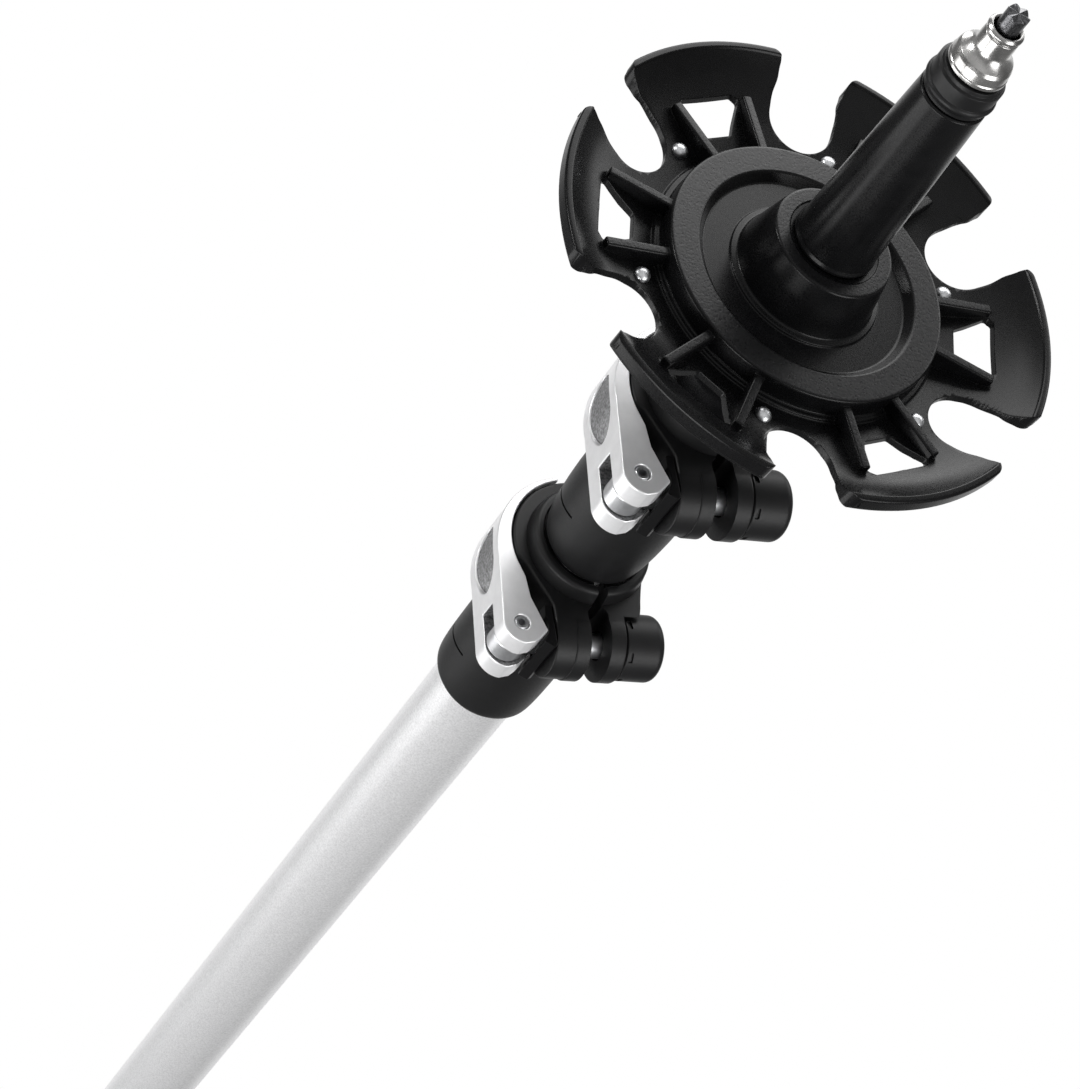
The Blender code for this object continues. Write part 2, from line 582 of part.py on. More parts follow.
def tip_sleeve(material):
    """The long tapered sleeve: collar end, plain taper, basket seat, cup and neck in one moulding."""
    stem_r = FERRULE_STEM_R + GAP
    stem_end = BELL_END_Z + FERRULE_STEM_LENGTH + GAP
    wall_end = stem_end + 4.0 * MM
    socket_r = SWAGED_R + GAP
    seat_z = BASKET_FACE_Z
    flare_z = CUP_FLOOR_Z + CUP_FLARE
    outer = [(stem_r, SLEEVE_Z), (SLEEVE_TIP_R - 0.3 * MM, SLEEVE_Z), (SLEEVE_TIP_R, SLEEVE_Z + 0.3 * MM),
             (SLEEVE_HUB_R, HUB_TOP_Z), (SLEEVE_HUB_R, seat_z), (SLEEVE_SEAT_R, seat_z + 0.4 * MM),
             (SLEEVE_SEAT_R, CUP_RIM_Z + 2.0 * MM), (SLEEVE_SEAT_R, CUP_FLOOR_Z)]
    cup_inner = CUP_R - CUP_WALL
    outer += [(cup_inner - 0.6 * MM, CUP_FLOOR_Z), (cup_inner, CUP_FLOOR_Z - 0.8 * MM), (cup_inner + 0.1 * MM, CUP_RIM_Z),
              (CUP_R, CUP_RIM_Z), (CUP_R, CUP_FLOOR_Z - 1.0 * MM)]
    for step in range(1, 6):
        share = step / 6
        outer.append((NECK_R + (CUP_R - NECK_R) * (1 + math.cos(share * math.pi)) / 2,
                      CUP_FLOOR_Z - 1.0 * MM + share * (CUP_FLARE + 1.0 * MM)))
    outer += [(NECK_R, flare_z), (NECK_R, NECK_END_Z), (socket_r, NECK_END_Z)]
    inner = [(socket_r, seat_z - 6 * MM), (4.0 * MM, seat_z - 8 * MM), (4.0 * MM, wall_end), (stem_r, wall_end - 1 * MM),
             (stem_r, stem_end)]
    sleeve = turned("tip_sleeve", outer + inner, material)
    hexagon = rod("tip_sleeve_hexagon", cup_inner - 0.7 * MM, CUP_FLOOR_Z - 3.2 * MM, CUP_FLOOR_Z + MM, "Z", steps=6)
    combine(sleeve, hexagon, "UNION")
    core = turned("tip_sleeve_core", [(0, seat_z), (socket_r, seat_z), (socket_r, NECK_END_Z + MM),
                                      (0, NECK_END_Z + MM)])
    combine(sleeve, core, "DIFFERENCE")
    hexagon.parent = core.parent = sleeve
    return sleeve


def lower_tube(material):
    """The thinnest section; its end is swaged down to push into the sleeve's socket."""
    outer = LOWER_TUBE_OD / 2
    top = POLE_LENGTH - LOWER_TUBE_TOP_DROP
    end = BASKET_FACE_Z + 1.0 * MM
    cone_low = NECK_END_Z + 0.4 * MM
    cone_high = cone_low + 2.2 * MM
    profile = [(SWAGED_R - TUBE_WALL, end), (SWAGED_R, end), (SWAGED_R, cone_low), (outer, cone_high), (outer, top),
               (outer - TUBE_WALL, top), (outer - TUBE_WALL, cone_high), (SWAGED_R - TUBE_WALL, cone_low)]
    return turned("lower_tube", profile, material)


def basket_profile():
    """Half section of the whole basket before it is cut into petals, from the hub's bore outwards."""
    face = BASKET_FACE_Z
    floor = face + DISH_DEPTH
    plate = face + PLATE_DROP
    under = plate + PLATE_WALL
    rim_top = face - RIM_RISE
    rim_low = rim_top + RIM_HEIGHT
    bore = SLEEVE_SEAT_R + GAP
    collar_r = bore + BASKET_COLLAR_WALL
    collar_end = CUP_FLOOR_Z - 3.2 * MM - GAP - 0.5 * MM
    rim_in = BASKET_R - RIM_WALL
    tip_side = [(bore, HUB_TOP_Z + 0.3 * MM), (bore + 0.4 * MM, HUB_TOP_Z), (HUB_TOP_R - 0.4 * MM, HUB_TOP_Z),
                (HUB_TOP_R, HUB_TOP_Z + 0.4 * MM), (HUB_BASE_R - 0.3 * MM, floor - 0.4 * MM), (HUB_BASE_R + 0.2 * MM, floor),
                (RING_INNER_R - 1.8 * MM, floor), (RING_INNER_R - 0.9 * MM, floor - 0.5 * MM),
                (RING_INNER_R - 0.1 * MM, face + 0.2 * MM), (RING_INNER_R + 0.2 * MM, face),
                (RING_OUTER_R - 0.5 * MM, face), (RING_OUTER_R, face + 0.5 * MM),
                (RING_OUTER_R, plate - 0.6 * MM), (RING_OUTER_R + 0.9 * MM, plate - 0.5 * MM),
                (RING_OUTER_R + 1.2 * MM, plate), (RIB_END_R, plate), (rim_in - 2.6 * MM, plate - 0.7 * MM),
                (rim_in - 1.0 * MM, plate - 2.2 * MM), (rim_in, rim_top + 0.9 * MM), (rim_in + 0.3 * MM, rim_top)]
    rim = [(BASKET_R - 0.3 * MM, rim_top), (BASKET_R, rim_top + 0.3 * MM), (BASKET_R, rim_low - 0.9 * MM),
           (BASKET_R - 0.5 * MM, rim_low - 0.6 * MM), (BASKET_R - 0.5 * MM, rim_low)]
    grip_side = [(rim_in - 0.6 * MM, rim_low + 0.9 * MM), (rim_in - 3.0 * MM, under - 0.3 * MM),
                 (RIB_END_R, under), (RING_INNER_R, under), (HUB_BASE_R + 1.0 * MM, floor + PLATE_WALL),
                 (collar_r + 0.8 * MM, floor + PLATE_WALL), (collar_r, floor + PLATE_WALL + 1.0 * MM),
                 (collar_r, collar_end), (bore, collar_end)]
    return tip_side + rim + grip_side


def notch_outline():
    """One U-shaped notch between two petals, its mouth a little drawn in and its corners rounded."""
    centre = NOTCH_ROOT + NOTCH_R
    mouth = NOTCH_MOUTH / 2
    root = arc((centre, 0), NOTCH_R, 90, 270, 12)
    side = [(centre + 3.4 * MM, NOTCH_R - 0.2 * MM), (BASKET_R - 3.0 * MM, mouth + 0.1 * MM),
            (BASKET_R - 1.8 * MM, mouth - 0.1 * MM), (BASKET_R - 0.8 * MM, mouth + 0.2 * MM),
            (BASKET_R, mouth + 1.4 * MM), (BASKET_R + 1 * MM, mouth + 2.4 * MM), (BASKET_R + 3 * MM, mouth + 4.4 * MM)]
    return root + [(u, -v) for u, v in side] + list(reversed(side))


def window_outline():
    """The trapezoid opening between the two ribs of a petal, with its corners cut off."""
    slope = math.tan(math.radians(RIB_HALF_ANGLE))
    clear = RIB_WALL / 2 + 0.7 * MM
    inner = WINDOW_INNER_R * slope - clear
    outer = WINDOW_OUTER_R * slope - clear
    corner = 1.0 * MM
    return [(WINDOW_INNER_R, -inner + corner), (WINDOW_INNER_R + corner, -inner), (WINDOW_OUTER_R - corner, -outer),
            (WINDOW_OUTER_R, -outer + corner), (WINDOW_OUTER_R, outer - corner), (WINDOW_OUTER_R - corner, outer),
            (WINDOW_INNER_R + corner, inner), (WINDOW_INNER_R, inner - corner)]


def snow_basket(material):
    """Six petals with windows and ribs on a dished ring, round the hub that screws on the sleeve's seat."""
    basket = turned("snow_basket", basket_profile(), material, steps=36)
    low, high = HUB_TOP_Z, CUP_RIM_Z
    plate = BASKET_FACE_Z + PLATE_DROP
    pitch = 360 / PETAL_COUNT
    rib_top = BASKET_FACE_Z + RIB_DROP
    rib_low = plate + 0.5 * PLATE_WALL
    for index in range(PETAL_COUNT):
        petal = math.radians(PETAL_ANGLE + pitch * index)
        for side in (-1, 1):
            rib = box(f"rib_{index}_{side}", (RING_OUTER_R - 1.0 * MM, -RIB_WALL / 2, rib_top),
                      (RIB_END_R, RIB_WALL / 2, rib_low))
            rib.data.transform(Matrix.Rotation(petal + side * math.radians(RIB_HALF_ANGLE), 4, "Z"))
            combine(basket, rib, "UNION")
            rib.parent = basket
        dome = [(0, plate + 0.4 * MM), (PIP_R, plate + 0.4 * MM), (PIP_R, plate - 0.3 * MM)] \
            + [(PIP_R * math.cos(a), plate - 0.3 * MM - PIP_R * 0.8 * math.sin(a)) for a in (0.5, 1.0)] \
            + [(0, plate - 0.3 * MM - PIP_R * 0.8)]
        pip = turned(f"pip_{index}", dome, steps=12)
        pip_turn = petal + math.radians(PIP_ANGLE)
        pip.data.transform(Matrix.Translation((PIP_PLACE_R * math.cos(pip_turn), PIP_PLACE_R * math.sin(pip_turn), 0)))
        combine(basket, pip, "UNION")
        notch = extruded(f"notch_{index}", notch_outline(), low, high)
        notch.data.transform(Matrix.Rotation(petal + math.radians(pitch / 2), 4, "Z"))
        combine(basket, notch, "DIFFERENCE")
        window = extruded(f"window_{index}", window_outline(), low, high)
        window.data.transform(Matrix.Rotation(petal, 4, "Z"))
        combine(basket, window, "DIFFERENCE")
        for helper in (pip, notch, window):
            helper.parent = basket
    return basket


def oval_ring(height, centre_y, half_x, half_y, count=28, power=2.4):
    """A rounded cross-section of the grip at one height."""
    ring = []
    for i in range(count):
        a = 2 * math.pi * i / count
        c, s = math.cos(a), math.sin(a)
        x = half_x * math.copysign(abs(c) ** (2 / power), c)
        y = half_y * math.copysign(abs(s) ** (2 / power), s)
        ring.append((x, centre_y + y, height))
    return ring


def grip_head(materials):
    """The moulded head: flared skirt, waist, finger rests and a palm knob that leans forward."""
    top = POLE_LENGTH - CAP_HEIGHT
    # height above the head's lower edge as a share, centre y, half width x, half depth y, in millimetres
    stations = [(0.00, 0.0, 15.4, 15.8), (0.03, 0.0, 15.8, 16.3), (0.09, -0.2, 14.6, 15.4), (0.18, -0.6, 13.3, 14.2),
                (0.28, -0.9, 13.2, 14.6), (0.38, -0.8, 13.6, 15.2), (0.48, -0.9, 13.5, 14.8), (0.58, -1.2, 13.9, 15.4),
                (0.68, -2.0, 14.8, 17.2), (0.77, -2.9, 16.0, 19.6), (0.85, -3.4, 17.0, 21.6), (0.92, -3.6, 17.4, 22.6),
                (0.97, -3.6, 16.9, 22.1), (1.00, -3.6, 15.6, 20.6)]
    rings = [oval_ring(GRIP_HEAD_Z + share * (top - GRIP_HEAD_Z), cy * MM, hx * MM, hy * MM)
             for share, cy, hx, hy in stations]
    head = lofted("grip_head", rings, materials)
    bore_top = POLE_LENGTH - UPPER_TUBE_TOP_DROP + GAP
    bore = rod("grip_head_bore", UPPER_TUBE_OD / 2 + GAP, GRIP_HEAD_Z - MM, bore_top, "Z", steps=STEPS)
    combine(head, bore, "DIFFERENCE")
    floor = POLE_LENGTH - POCKET_FLOOR_DROP
    half = STRAP_WIDTH / 2 + GAP
    pocket = box("grip_head_pocket", (-half, POCKET_DEPTH_Y, floor), (half, 40 * MM, floor + POCKET_HEIGHT))
    combine(head, pocket, "DIFFERENCE")
    bore.parent = pocket.parent = head
    return head


def grip_sleeve(material):
    """The plain foam sleeve below the head, with shallow turned grooves."""
    low, high = GRIP_SLEEVE_Z, GRIP_HEAD_Z - GAP
    bore_r = UPPER_TUBE_OD / 2 + GAP
    r = GRIP_SLEEVE_R
    profile = [(bore_r, low), (r - 1.6 * MM, low), (r - 0.5 * MM, low + 0.5 * MM), (r, low + 1.8 * MM)]
    pitch = (high - low - 24 * MM) / (GRIP_SLEEVE_GROOVES - 1)
    for index in range(GRIP_SLEEVE_GROOVES):
        z = low + 12 * MM + pitch * index
        profile += [(r, z - 1.5 * MM), (r - GROOVE_DEPTH, z), (r, z + 1.5 * MM)]
    profile += [(r, high - 1.0 * MM), (r - 0.8 * MM, high), (bore_r, high)]
    return turned("grip_sleeve", profile, material, steps=24)


def grip_cap(material):
    """The shallow cap on top of the head."""
    low = POLE_LENGTH - CAP_HEIGHT + GAP
    rise = POLE_LENGTH - low
    shares = [(0.0, 1.0), (0.35, 0.985), (0.7, 0.9), (0.9, 0.72), (1.0, 0.45)]
    rings = [oval_ring(low + rise * share, -3.6 * MM, 15.2 * MM * size, 20.2 * MM * size) for share, size in shares]
    return lofted("grip_cap", rings, material)


def strap_route():
    """Centre line of the webbing loop in the YZ plane, from its lower end in the pocket round to its upper end."""
    floor = POLE_LENGTH - POCKET_FLOOR_DROP
    low_ply = floor + GAP + STRAP_THICKNESS / 2
    high_ply = low_ply + STRAP_THICKNESS + GAP + 1.6 * MM
    start_y = POCKET_DEPTH_Y + 1.5 * MM
    bend = 4.0 * MM
    inner = STRAP_INNER_Y
    outer = STRAP_OUTER_Y
    bottom = POLE_LENGTH - POCKET_FLOOR_DROP - STRAP_DROP
    turn_r = (outer - inner) / 2
    route = [(start_y, low_ply), (inner - bend, low_ply)]
    route += arc((inner - bend, low_ply - bend), bend, 75, 0, 4)
    route += [(inner + 0.5 * MM, low_ply - 40 * MM), (inner + 0.9 * MM, low_ply - 90 * MM)]
    route += arc(((inner + outer) / 2, bottom + turn_r), turn_r, 180, 360, 12)
    route += [(outer - 0.3 * MM, low_ply - 90 * MM), (outer - 1.2 * MM, low_ply - 40 * MM)]
    big = 14.0 * MM
    route += arc((outer - 2.2 * MM - big, high_ply - big), big, 8, 90, 8)
    route += [(start_y, high_ply)]
    return route


def wrist_strap(material):
    """The webbing wrist loop, a flat band along its route."""
    route = [Vector(point) for point in strap_route()]
    bm = bmesh.new()
    half_w, half_t = STRAP_WIDTH / 2, STRAP_THICKNESS / 2
    loops = []
    for i, point in enumerate(route):
        before = route[max(i - 1, 0)]
        after = route[min(i + 1, len(route) - 1)]
        along = (after - before).normalized()
        side = Vector((-along.y, along.x)) * half_t
        corners = [(x, point.x + s * side.x, point.y + s * side.y) for x, s in
                   ((-half_w, -1), (half_w, -1), (half_w, 1), (-half_w, 1))]
        loops.append([bm.verts.new(corner) for corner in corners])
    for lower, upper in zip(loops, loops[1:]):
        for i in range(4):
            j = (i + 1) % 4
            bm.faces.new((lower[i], lower[j], upper[j], upper[i]))
    bm.faces.new(loops[0])
    bm.faces.new(loops[-1])
    return link_mesh("wrist_strap", bm, material)


def strap_wedge(material):
    """The wedge that locks both plies of the strap in the head's pocket."""
    floor = POLE_LENGTH - POCKET_FLOOR_DROP
    plies_top = floor + GAP + STRAP_THICKNESS / 2 + STRAP_THICKNESS + GAP + 1.6 * MM + STRAP_THICKNESS / 2
    low = plies_top + GAP
    high = low + WEDGE_HEIGHT
    ceiling = floor + POCKET_HEIGHT - GAP
    outline = [(POCKET_DEPTH_Y + GAP, low), (17.6 * MM, low), (18.2 * MM, low + 1.0 * MM), (17.4 * MM, high + 1.6 * MM),
               (16.4 * MM, min(high + 2.2 * MM, ceiling)), (POCKET_DEPTH_Y + GAP, high)]
    return extruded("strap_wedge", outline, -STRAP_WIDTH / 2 + GAP, STRAP_WIDTH / 2 - GAP, material, plane="YZ")


def build():
    clear_scene()
    finishes = {
        "nylon": make_material("glass_filled_nylon", "#1C1C1D", 0.5),
        "acetal": make_material("acetal", "#121213", 0.4),
        "basket_plastic": make_material("basket_polyamide", "#1A1A1B", 0.42),
        "lever_aluminium": make_material("satin_lever_aluminium", "#E2E3E4", 0.32, 0.9),
        "tube_aluminium": make_material("satin_anodised_tube", "#D6D7D8", 0.36, 0.9),
        "steel": make_material("zinc_plated_steel", "#B9BABC", 0.3, 1.0),
        "brass": make_material("turned_brass", "#B08D4A", 0.3, 1.0),
        "nickel": make_material("nickel_plate", "#D0D0CE", 0.14, 1.0),
        "carbide": make_material("tungsten_carbide", "#6C6C6E", 0.42, 0.8),
        "grip_rubber": make_material("grip_elastomer", "#1E1E1F", 0.7),
        "foam": make_material("eva_foam", "#232324", 0.9),
        "webbing": make_material("polyester_webbing", "#202021", 0.85),
    }
    lever_clamp("upper", UPPER_TUBE_OD, MIDDLE_TUBE_OD, UPPER_CLAMP_Z, 3.5, finishes)
    lever_clamp("lower", MIDDLE_TUBE_OD, LOWER_TUBE_OD, LOWER_CLAMP_Z, 2.0, finishes)
    upper_low = UPPER_CLAMP_Z + TUBE_STOP_Z + GAP
    middle_low = LOWER_CLAMP_Z + TUBE_STOP_Z + GAP
    upper_top = POLE_LENGTH - UPPER_TUBE_TOP_DROP
    middle_top = POLE_LENGTH - MIDDLE_TUBE_TOP_DROP
    lower_top = POLE_LENGTH - LOWER_TUBE_TOP_DROP
    tube("upper_tube", UPPER_TUBE_OD, upper_low, upper_top, finishes["tube_aluminium"])
    tube("middle_tube", MIDDLE_TUBE_OD, middle_low, middle_top, finishes["tube_aluminium"])
    lower_tube(finishes["tube_aluminium"])
    end_plug("middle_end_plug", MIDDLE_TUBE_OD, middle_top, finishes["acetal"])
    end_plug("lower_end_plug", LOWER_TUBE_OD, lower_top, finishes["acetal"])
    carbide_tip(finishes["carbide"])
    tip_ferrule(finishes["nickel"])
    tip_collar(finishes["nylon"])
    tip_sleeve(finishes["basket_plastic"])
    snow_basket(finishes["basket_plastic"])
    grip_head(finishes["grip_rubber"])
    grip_sleeve(finishes["foam"])
    grip_cap(finishes["nylon"])
    wrist_strap(finishes["webbing"])
    strap_wedge(finishes["nylon"])


build()
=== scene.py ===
"""Looks of a nordic walking pole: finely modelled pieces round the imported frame, studio light and camera.

The tip is at the origin and +Z runs up the shaft. The ears of both clamps face -Y, the levers lie on the
+X side and the thumb nuts on the -X side. Pieces are drawn in millimetres, and the small functions that
shape them by hand turn these into Blender's metres. Camera, lamps and floor are placed in metres.
"""

import math

import bpy
from mathutils import Matrix, Vector


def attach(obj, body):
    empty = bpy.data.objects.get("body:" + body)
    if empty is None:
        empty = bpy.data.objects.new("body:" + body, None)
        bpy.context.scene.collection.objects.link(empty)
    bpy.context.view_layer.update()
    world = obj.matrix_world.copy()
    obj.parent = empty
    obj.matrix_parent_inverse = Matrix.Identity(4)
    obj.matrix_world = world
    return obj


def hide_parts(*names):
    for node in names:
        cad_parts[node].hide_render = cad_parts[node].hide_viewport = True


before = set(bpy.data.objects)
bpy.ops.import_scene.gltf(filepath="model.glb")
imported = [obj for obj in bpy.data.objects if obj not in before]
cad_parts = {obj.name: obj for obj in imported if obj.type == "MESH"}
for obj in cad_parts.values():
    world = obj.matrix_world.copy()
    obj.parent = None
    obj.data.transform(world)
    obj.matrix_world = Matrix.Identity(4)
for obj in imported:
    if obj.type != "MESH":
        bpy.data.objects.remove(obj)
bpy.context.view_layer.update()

# One millimetre in metres, the play between fitting pieces, and how near two vertices merge
MM = 0.001
GAP = 0.3
MERGE = 0.002 * MM

# How many sides a small pin, an ear, a nut, a tube and the basket have
SMALL_STEPS = 48
EAR_STEPS = 72
ROUND_STEPS = 96
FINE_STEPS = 128
BASKET_STEPS = 180

# Camera: where it stands and which way it is turned, found from the picture's own perspective
CAMERA_PLACE = (0.25144, -0.28135, -0.28426)
CAMERA_RIGHT = (-0.9049, -0.1538, -0.3968)
CAMERA_UP = (0.0756, 0.8595, -0.5055)
CAMERA_BACK = (0.4189, -0.4874, -0.7662)
PICTURE_HEIGHT = 1089
FOCAL_PIXELS = 3089.6
SENSOR = 36.0

# Light: floor, dim surround, and soft lamps, each with its direction, distance, size and power
WHITE = (1, 1, 1, 1)
FLOOR_SIZE = 12.0
FLOOR_Z = -0.8
FLOOR_GLOW = 0.33
SURROUND_LEVEL = 0.22
MIRROR_LOOKS_ALONG = (0.7, 0.9)
LAMP_TARGET = Vector((0, 0, 0.1))
LAMPS = [("lamp_below_left", (0.707, -0.667, 0.158), 1.0, 0.6, 8.0),
         ("lamp_below_right", (-0.379, -0.852, -0.318), 1.0, 0.6, 6.0),
         ("lamp_above", (-0.25, 0.84, -0.48), 0.3, 0.24, 0.7),
         ("lamp_right", (-0.78, 0.49, -0.38), 1.0, 0.4, 1.6),
         ("lamp_edge", (0.75, 0.49, -0.4), 1.0, 0.2, 2.6),
         ("lamp_left", (0.8, 0.03, 0.5), 1.1, 0.7, 5.0)]

# Tubes
UPPER_TUBE_R = 9.0
MIDDLE_TUBE_R = 8.0
LOWER_TUBE_R = 7.0
TUBE_WALL = 0.7
POLE_LENGTH = 710.0
UPPER_TUBE_TOP_Z = POLE_LENGTH - 48
MIDDLE_TUBE_TOP_Z = POLE_LENGTH - 65
LOWER_TUBE_TOP_Z = POLE_LENGTH - 105

# Lever clamp, measured from its own middle
UPPER_CLAMP_Z = 165.0
LOWER_CLAMP_Z = 112.6
HALF = 6.8
BARREL_LENGTH = 42.4
BARREL_R = 11.2
BARREL_CURVE_START = 0.55
COLLAR_R = 14.8
COLLAR_BACK_R = 12.4
LIP_LENGTH = 3.5
LIP_R = 12.2
LIP_RECESS_R = 9.9
LIP_RECESS_DEPTH = 1.2
TUBE_STOP_Z = 8.5
BOLT_Y = -16.9
BOLT_R = 2.5
BOLT_PLAY = 0.4
EAR_R = 7.0
EAR_X = 9.0
NUT_SEAT_X = 5.3
EYE_R = 3.6
EYE_HALF = 2.0
PIN_R = 1.4
PIN_PLAY = 0.15
PIN_X = 16.0
CAM_X = 15.3
CAM_R = 4.5
FORK_TOP_Y = -10.7
GROOVE_ARC = (-19, 60)
GROOVE_TILT = 20
GROOVE_Z = 31.4
NUT_R = 6.4
NUT_LENGTH = 8.4
LEVER_WALL = 3.3
LEVER_SIDE_Y = -2.2
LEVER_TAIL_ANGLE = 78
LEVER_TAIL_WALL = 0.75
RECESS_HALF = (7.0, 4.3)
RECESS_DEPTH = 0.5
BOLT_LINE = (0, BOLT_Y, 0)
PIN_LINE = (PIN_X, BOLT_Y, 0)

# Tip: carbide, ferrule, collar ring and the sleeve with its cup
CARBIDE_R = 1.95
CARBIDE_LENGTH = 11.0
FERRULE_Z = 3.3
FERRULE_NOSE_R = 3.1
FERRULE_BELL_R = 5.15
BELL_END_Z = 12.7
STEM_R = 3.4
STEM_END_Z = 23.7
RING_Z = 13.0
RING_LENGTH = 6.0
RING_R = 5.85
BEAD_R = 6.2
SLEEVE_Z = 19.3
SLEEVE_TIP_R = 5.9
SWAGED_R = 5.9
SLEEVE_HUB_R = 7.25
SLEEVE_SEAT_R = 7.35
CUP_R = 11.0
CUP_WALL = 1.3
CUP_FLOOR_Z = 91.0
CUP_RIM_Z = 83.0
CUP_FLARE = 6.5
NECK_R = 7.5
NECK_END_Z = 103.2

# Snow basket
BASKET_FACE_Z = 67.3
BASKET_R = 46.0
HUB_TOP_Z = 58.8
HUB_TOP_R = 10.9
HUB_BASE_R = 12.9
RING_INNER_R = 20.5
RING_OUTER_R = 25.7
DISH_FLOOR_Z = 69.0
PLATE_BOWL = [(30.0, 71.5), (34.0, 70.8), (37.0, 69.9), (39.2, 69.0), (41.2, 67.9), (43.0, 66.6),
              (44.5, 65.3)]
PLATE_Z = 72.0
PLATE_WALL = 1.7
RIM_TOP_Z = 64.9
RIM_LOW_Z = 68.5
NOTCH_R = 6.35
NOTCH_ROOT = 30.05
NOTCH_MOUTH = 6.5
RIB_WALL = 1.8
RIB_HALF_ANGLE = 11.8
RIB_TOP_Z = 68.5
RIB_END_R = 37.3
WINDOW_INNER_R = 30.6
WINDOW_OUTER_R = 37.6
WINDOW_HALF_WIDTHS = (2.7, 6.6)
PETALS = [13.25 + 60 * index for index in range(6)]
PIP_R = 1.5
PIP_PLACE_R = 30.2
PIP_ANGLE = -18.6
BASKET_LEAN_X = 2.2
BASKET_LEAN_Y = 0.2
BASKET_OFF_CENTRE = 0.6
BASKET_OFF_UP = 0.2
BASKET_PIVOT_Z = 78.0

# Grip end
GRIP_HEAD_Z = 610.0
GRIP_SLEEVE_Z = 487.7
GRIP_SLEEVE_R = 13.6
CAP_HEIGHT = 3.6
POCKET_FLOOR_Z = 680.0
POCKET_HEIGHT = 17.0
POCKET_Y = 8.0
STRAP_WIDTH = 22.0
STRAP_THICKNESS = 1.8
STRAP_BOTTOM_Z = 540.0
STRAP_INNER_Y = 24.0
STRAP_OUTER_Y = 41.0


# Working by hand: picking pieces up, drawing, turning, cutting


def metres(point):
    """A point in millimetres, in Blender's metres."""
    return tuple(value * MM for value in point)


def put_down():
    """Leaves edit mode and lets go of every piece."""
    if bpy.context.object and bpy.context.object.mode != "OBJECT":
        bpy.ops.object.mode_set(mode="OBJECT")
    bpy.ops.object.select_all(action="DESELECT")


def pick_up(item):
    put_down()
    item.select_set(True)
    bpy.context.view_layer.objects.active = item
    return item


def open_up(item):
    """Opens a piece's mesh for shaping, all of it selected."""
    pick_up(item)
    bpy.ops.object.mode_set(mode="EDIT")
    bpy.ops.mesh.select_all(action="SELECT")
    return item


def named(name):
    """Names the piece just added and sets its place into its mesh."""
    item = bpy.context.active_object
    item.name = item.data.name = name
    bpy.ops.object.transform_apply(location=True, rotation=True, scale=True)
    return item


def pull(x=0.0, y=0.0, z=0.0):
    """Extrudes what is selected by so many millimetres."""
    bpy.ops.mesh.extrude_region_move(TRANSFORM_OT_translate={"value": metres((x, y, z))})


def draw_line(name, points):
    """Draws edges from point to point: a small plane is gathered into one vertex, then extruded on."""
    points = [Vector(metres(point)) for point in points]
    put_down()
    bpy.ops.mesh.primitive_plane_add(size=0.1 * MM, location=points[0])
    item = open_up(named(name))
    bpy.ops.mesh.merge(type="CENTER")
    for before, after in zip(points, points[1:]):
        bpy.ops.mesh.extrude_region_move(TRANSFORM_OT_translate={"value": after - before})
    bpy.ops.mesh.select_all(action="SELECT")
    return item


def draw_face(name, points):
    """Draws a closed outline and fills it, ready to be pulled out."""
    item = draw_line(name, points + points[:1])
    bpy.ops.mesh.remove_doubles(threshold=MERGE)
    bpy.ops.mesh.edge_face_add()
    return item


def tidy_mesh():
    """Merges what lies together and turns every face outwards, with the mesh open and closed all round."""
    bpy.ops.mesh.select_all(action="SELECT")
    bpy.ops.mesh.remove_doubles(threshold=MERGE)
    bpy.ops.mesh.normals_make_consistent(inside=False)
    bpy.ops.mesh.select_all(action="SELECT")


def turn_on_lathe(name, profile, steps=ROUND_STEPS, axis="Z", centre=(0, 0, 0)):
    """Draws a closed half section of (radius, station) points and spins it once round."""
    item = draw_line(name, [(r, 0, z) for r, z in profile + profile[:1]])
    bpy.ops.mesh.spin(steps=steps, angle=2 * math.pi, center=(0, 0, 0), axis=(0, 0, 1))
    tidy_mesh()
    if axis == "X":
        bpy.ops.transform.rotate(value=math.radians(-90), orient_axis="Y", center_override=(0, 0, 0))
    bpy.ops.transform.translate(value=metres(centre))
    put_down()
    return item


def extrude_outline(name, outline, low, high, axis="Z"):
    """Draws a flat outline, fills it and pulls it out between two stations of one axis."""
    places = {"Z": lambda a, b: (a, b, low), "X": lambda a, b: (low, a, b), "Y": lambda a, b: (a, low, b)}
    item = draw_line(name, [places[axis](a, b) for a, b in outline])
    bpy.ops.mesh.edge_face_add()
    pull(**{axis.lower(): high - low})
    tidy_mesh()
    put_down()
    return item


def rod(name, radius, low, high, axis, centre=(0, 0, 0), steps=SMALL_STEPS):
    """A round bar between two stations of one axis: a cutter, or the start of a pin or an ear."""
    put_down()
    turned = {"X": (0, math.radians(90), 0), "Z": (0, 0, 0)}[axis]
    middle = list(centre)
    middle["XYZ".index(axis)] = (low + high) / 2
    bpy.ops.mesh.primitive_cylinder_add(vertices=steps, radius=radius * MM, depth=(high - low) * MM,
                                        location=metres(middle), rotation=turned)
    return named(name)


def block(name, low, high):
    """A square block between two corners, for cutting slots."""
    put_down()
    low, high = Vector(metres(low)), Vector(metres(high))
    bpy.ops.mesh.primitive_cube_add(size=1, location=(low + high) / 2, scale=high - low)
    return named(name)


def apply_modifier(item, kind, **settings):
    pick_up(item)
    modifier = item.modifiers.new(kind.lower(), kind)
    for key, value in settings.items():
        setattr(modifier, key, value)
    bpy.ops.object.modifier_apply(modifier=modifier.name)
    return item


def weld(item, *tools, operation="UNION"):
    """Joins other shapes to a piece, one after another; each is used up."""
    for tool in tools:
        apply_modifier(item, "BOOLEAN", operation=operation, solver="EXACT", object=tool)
        bpy.data.objects.remove(tool)
    return item


def cut(item, *tools):
    """Cuts other shapes out of a piece, one after another."""
    return weld(item, *tools, operation="DIFFERENCE")


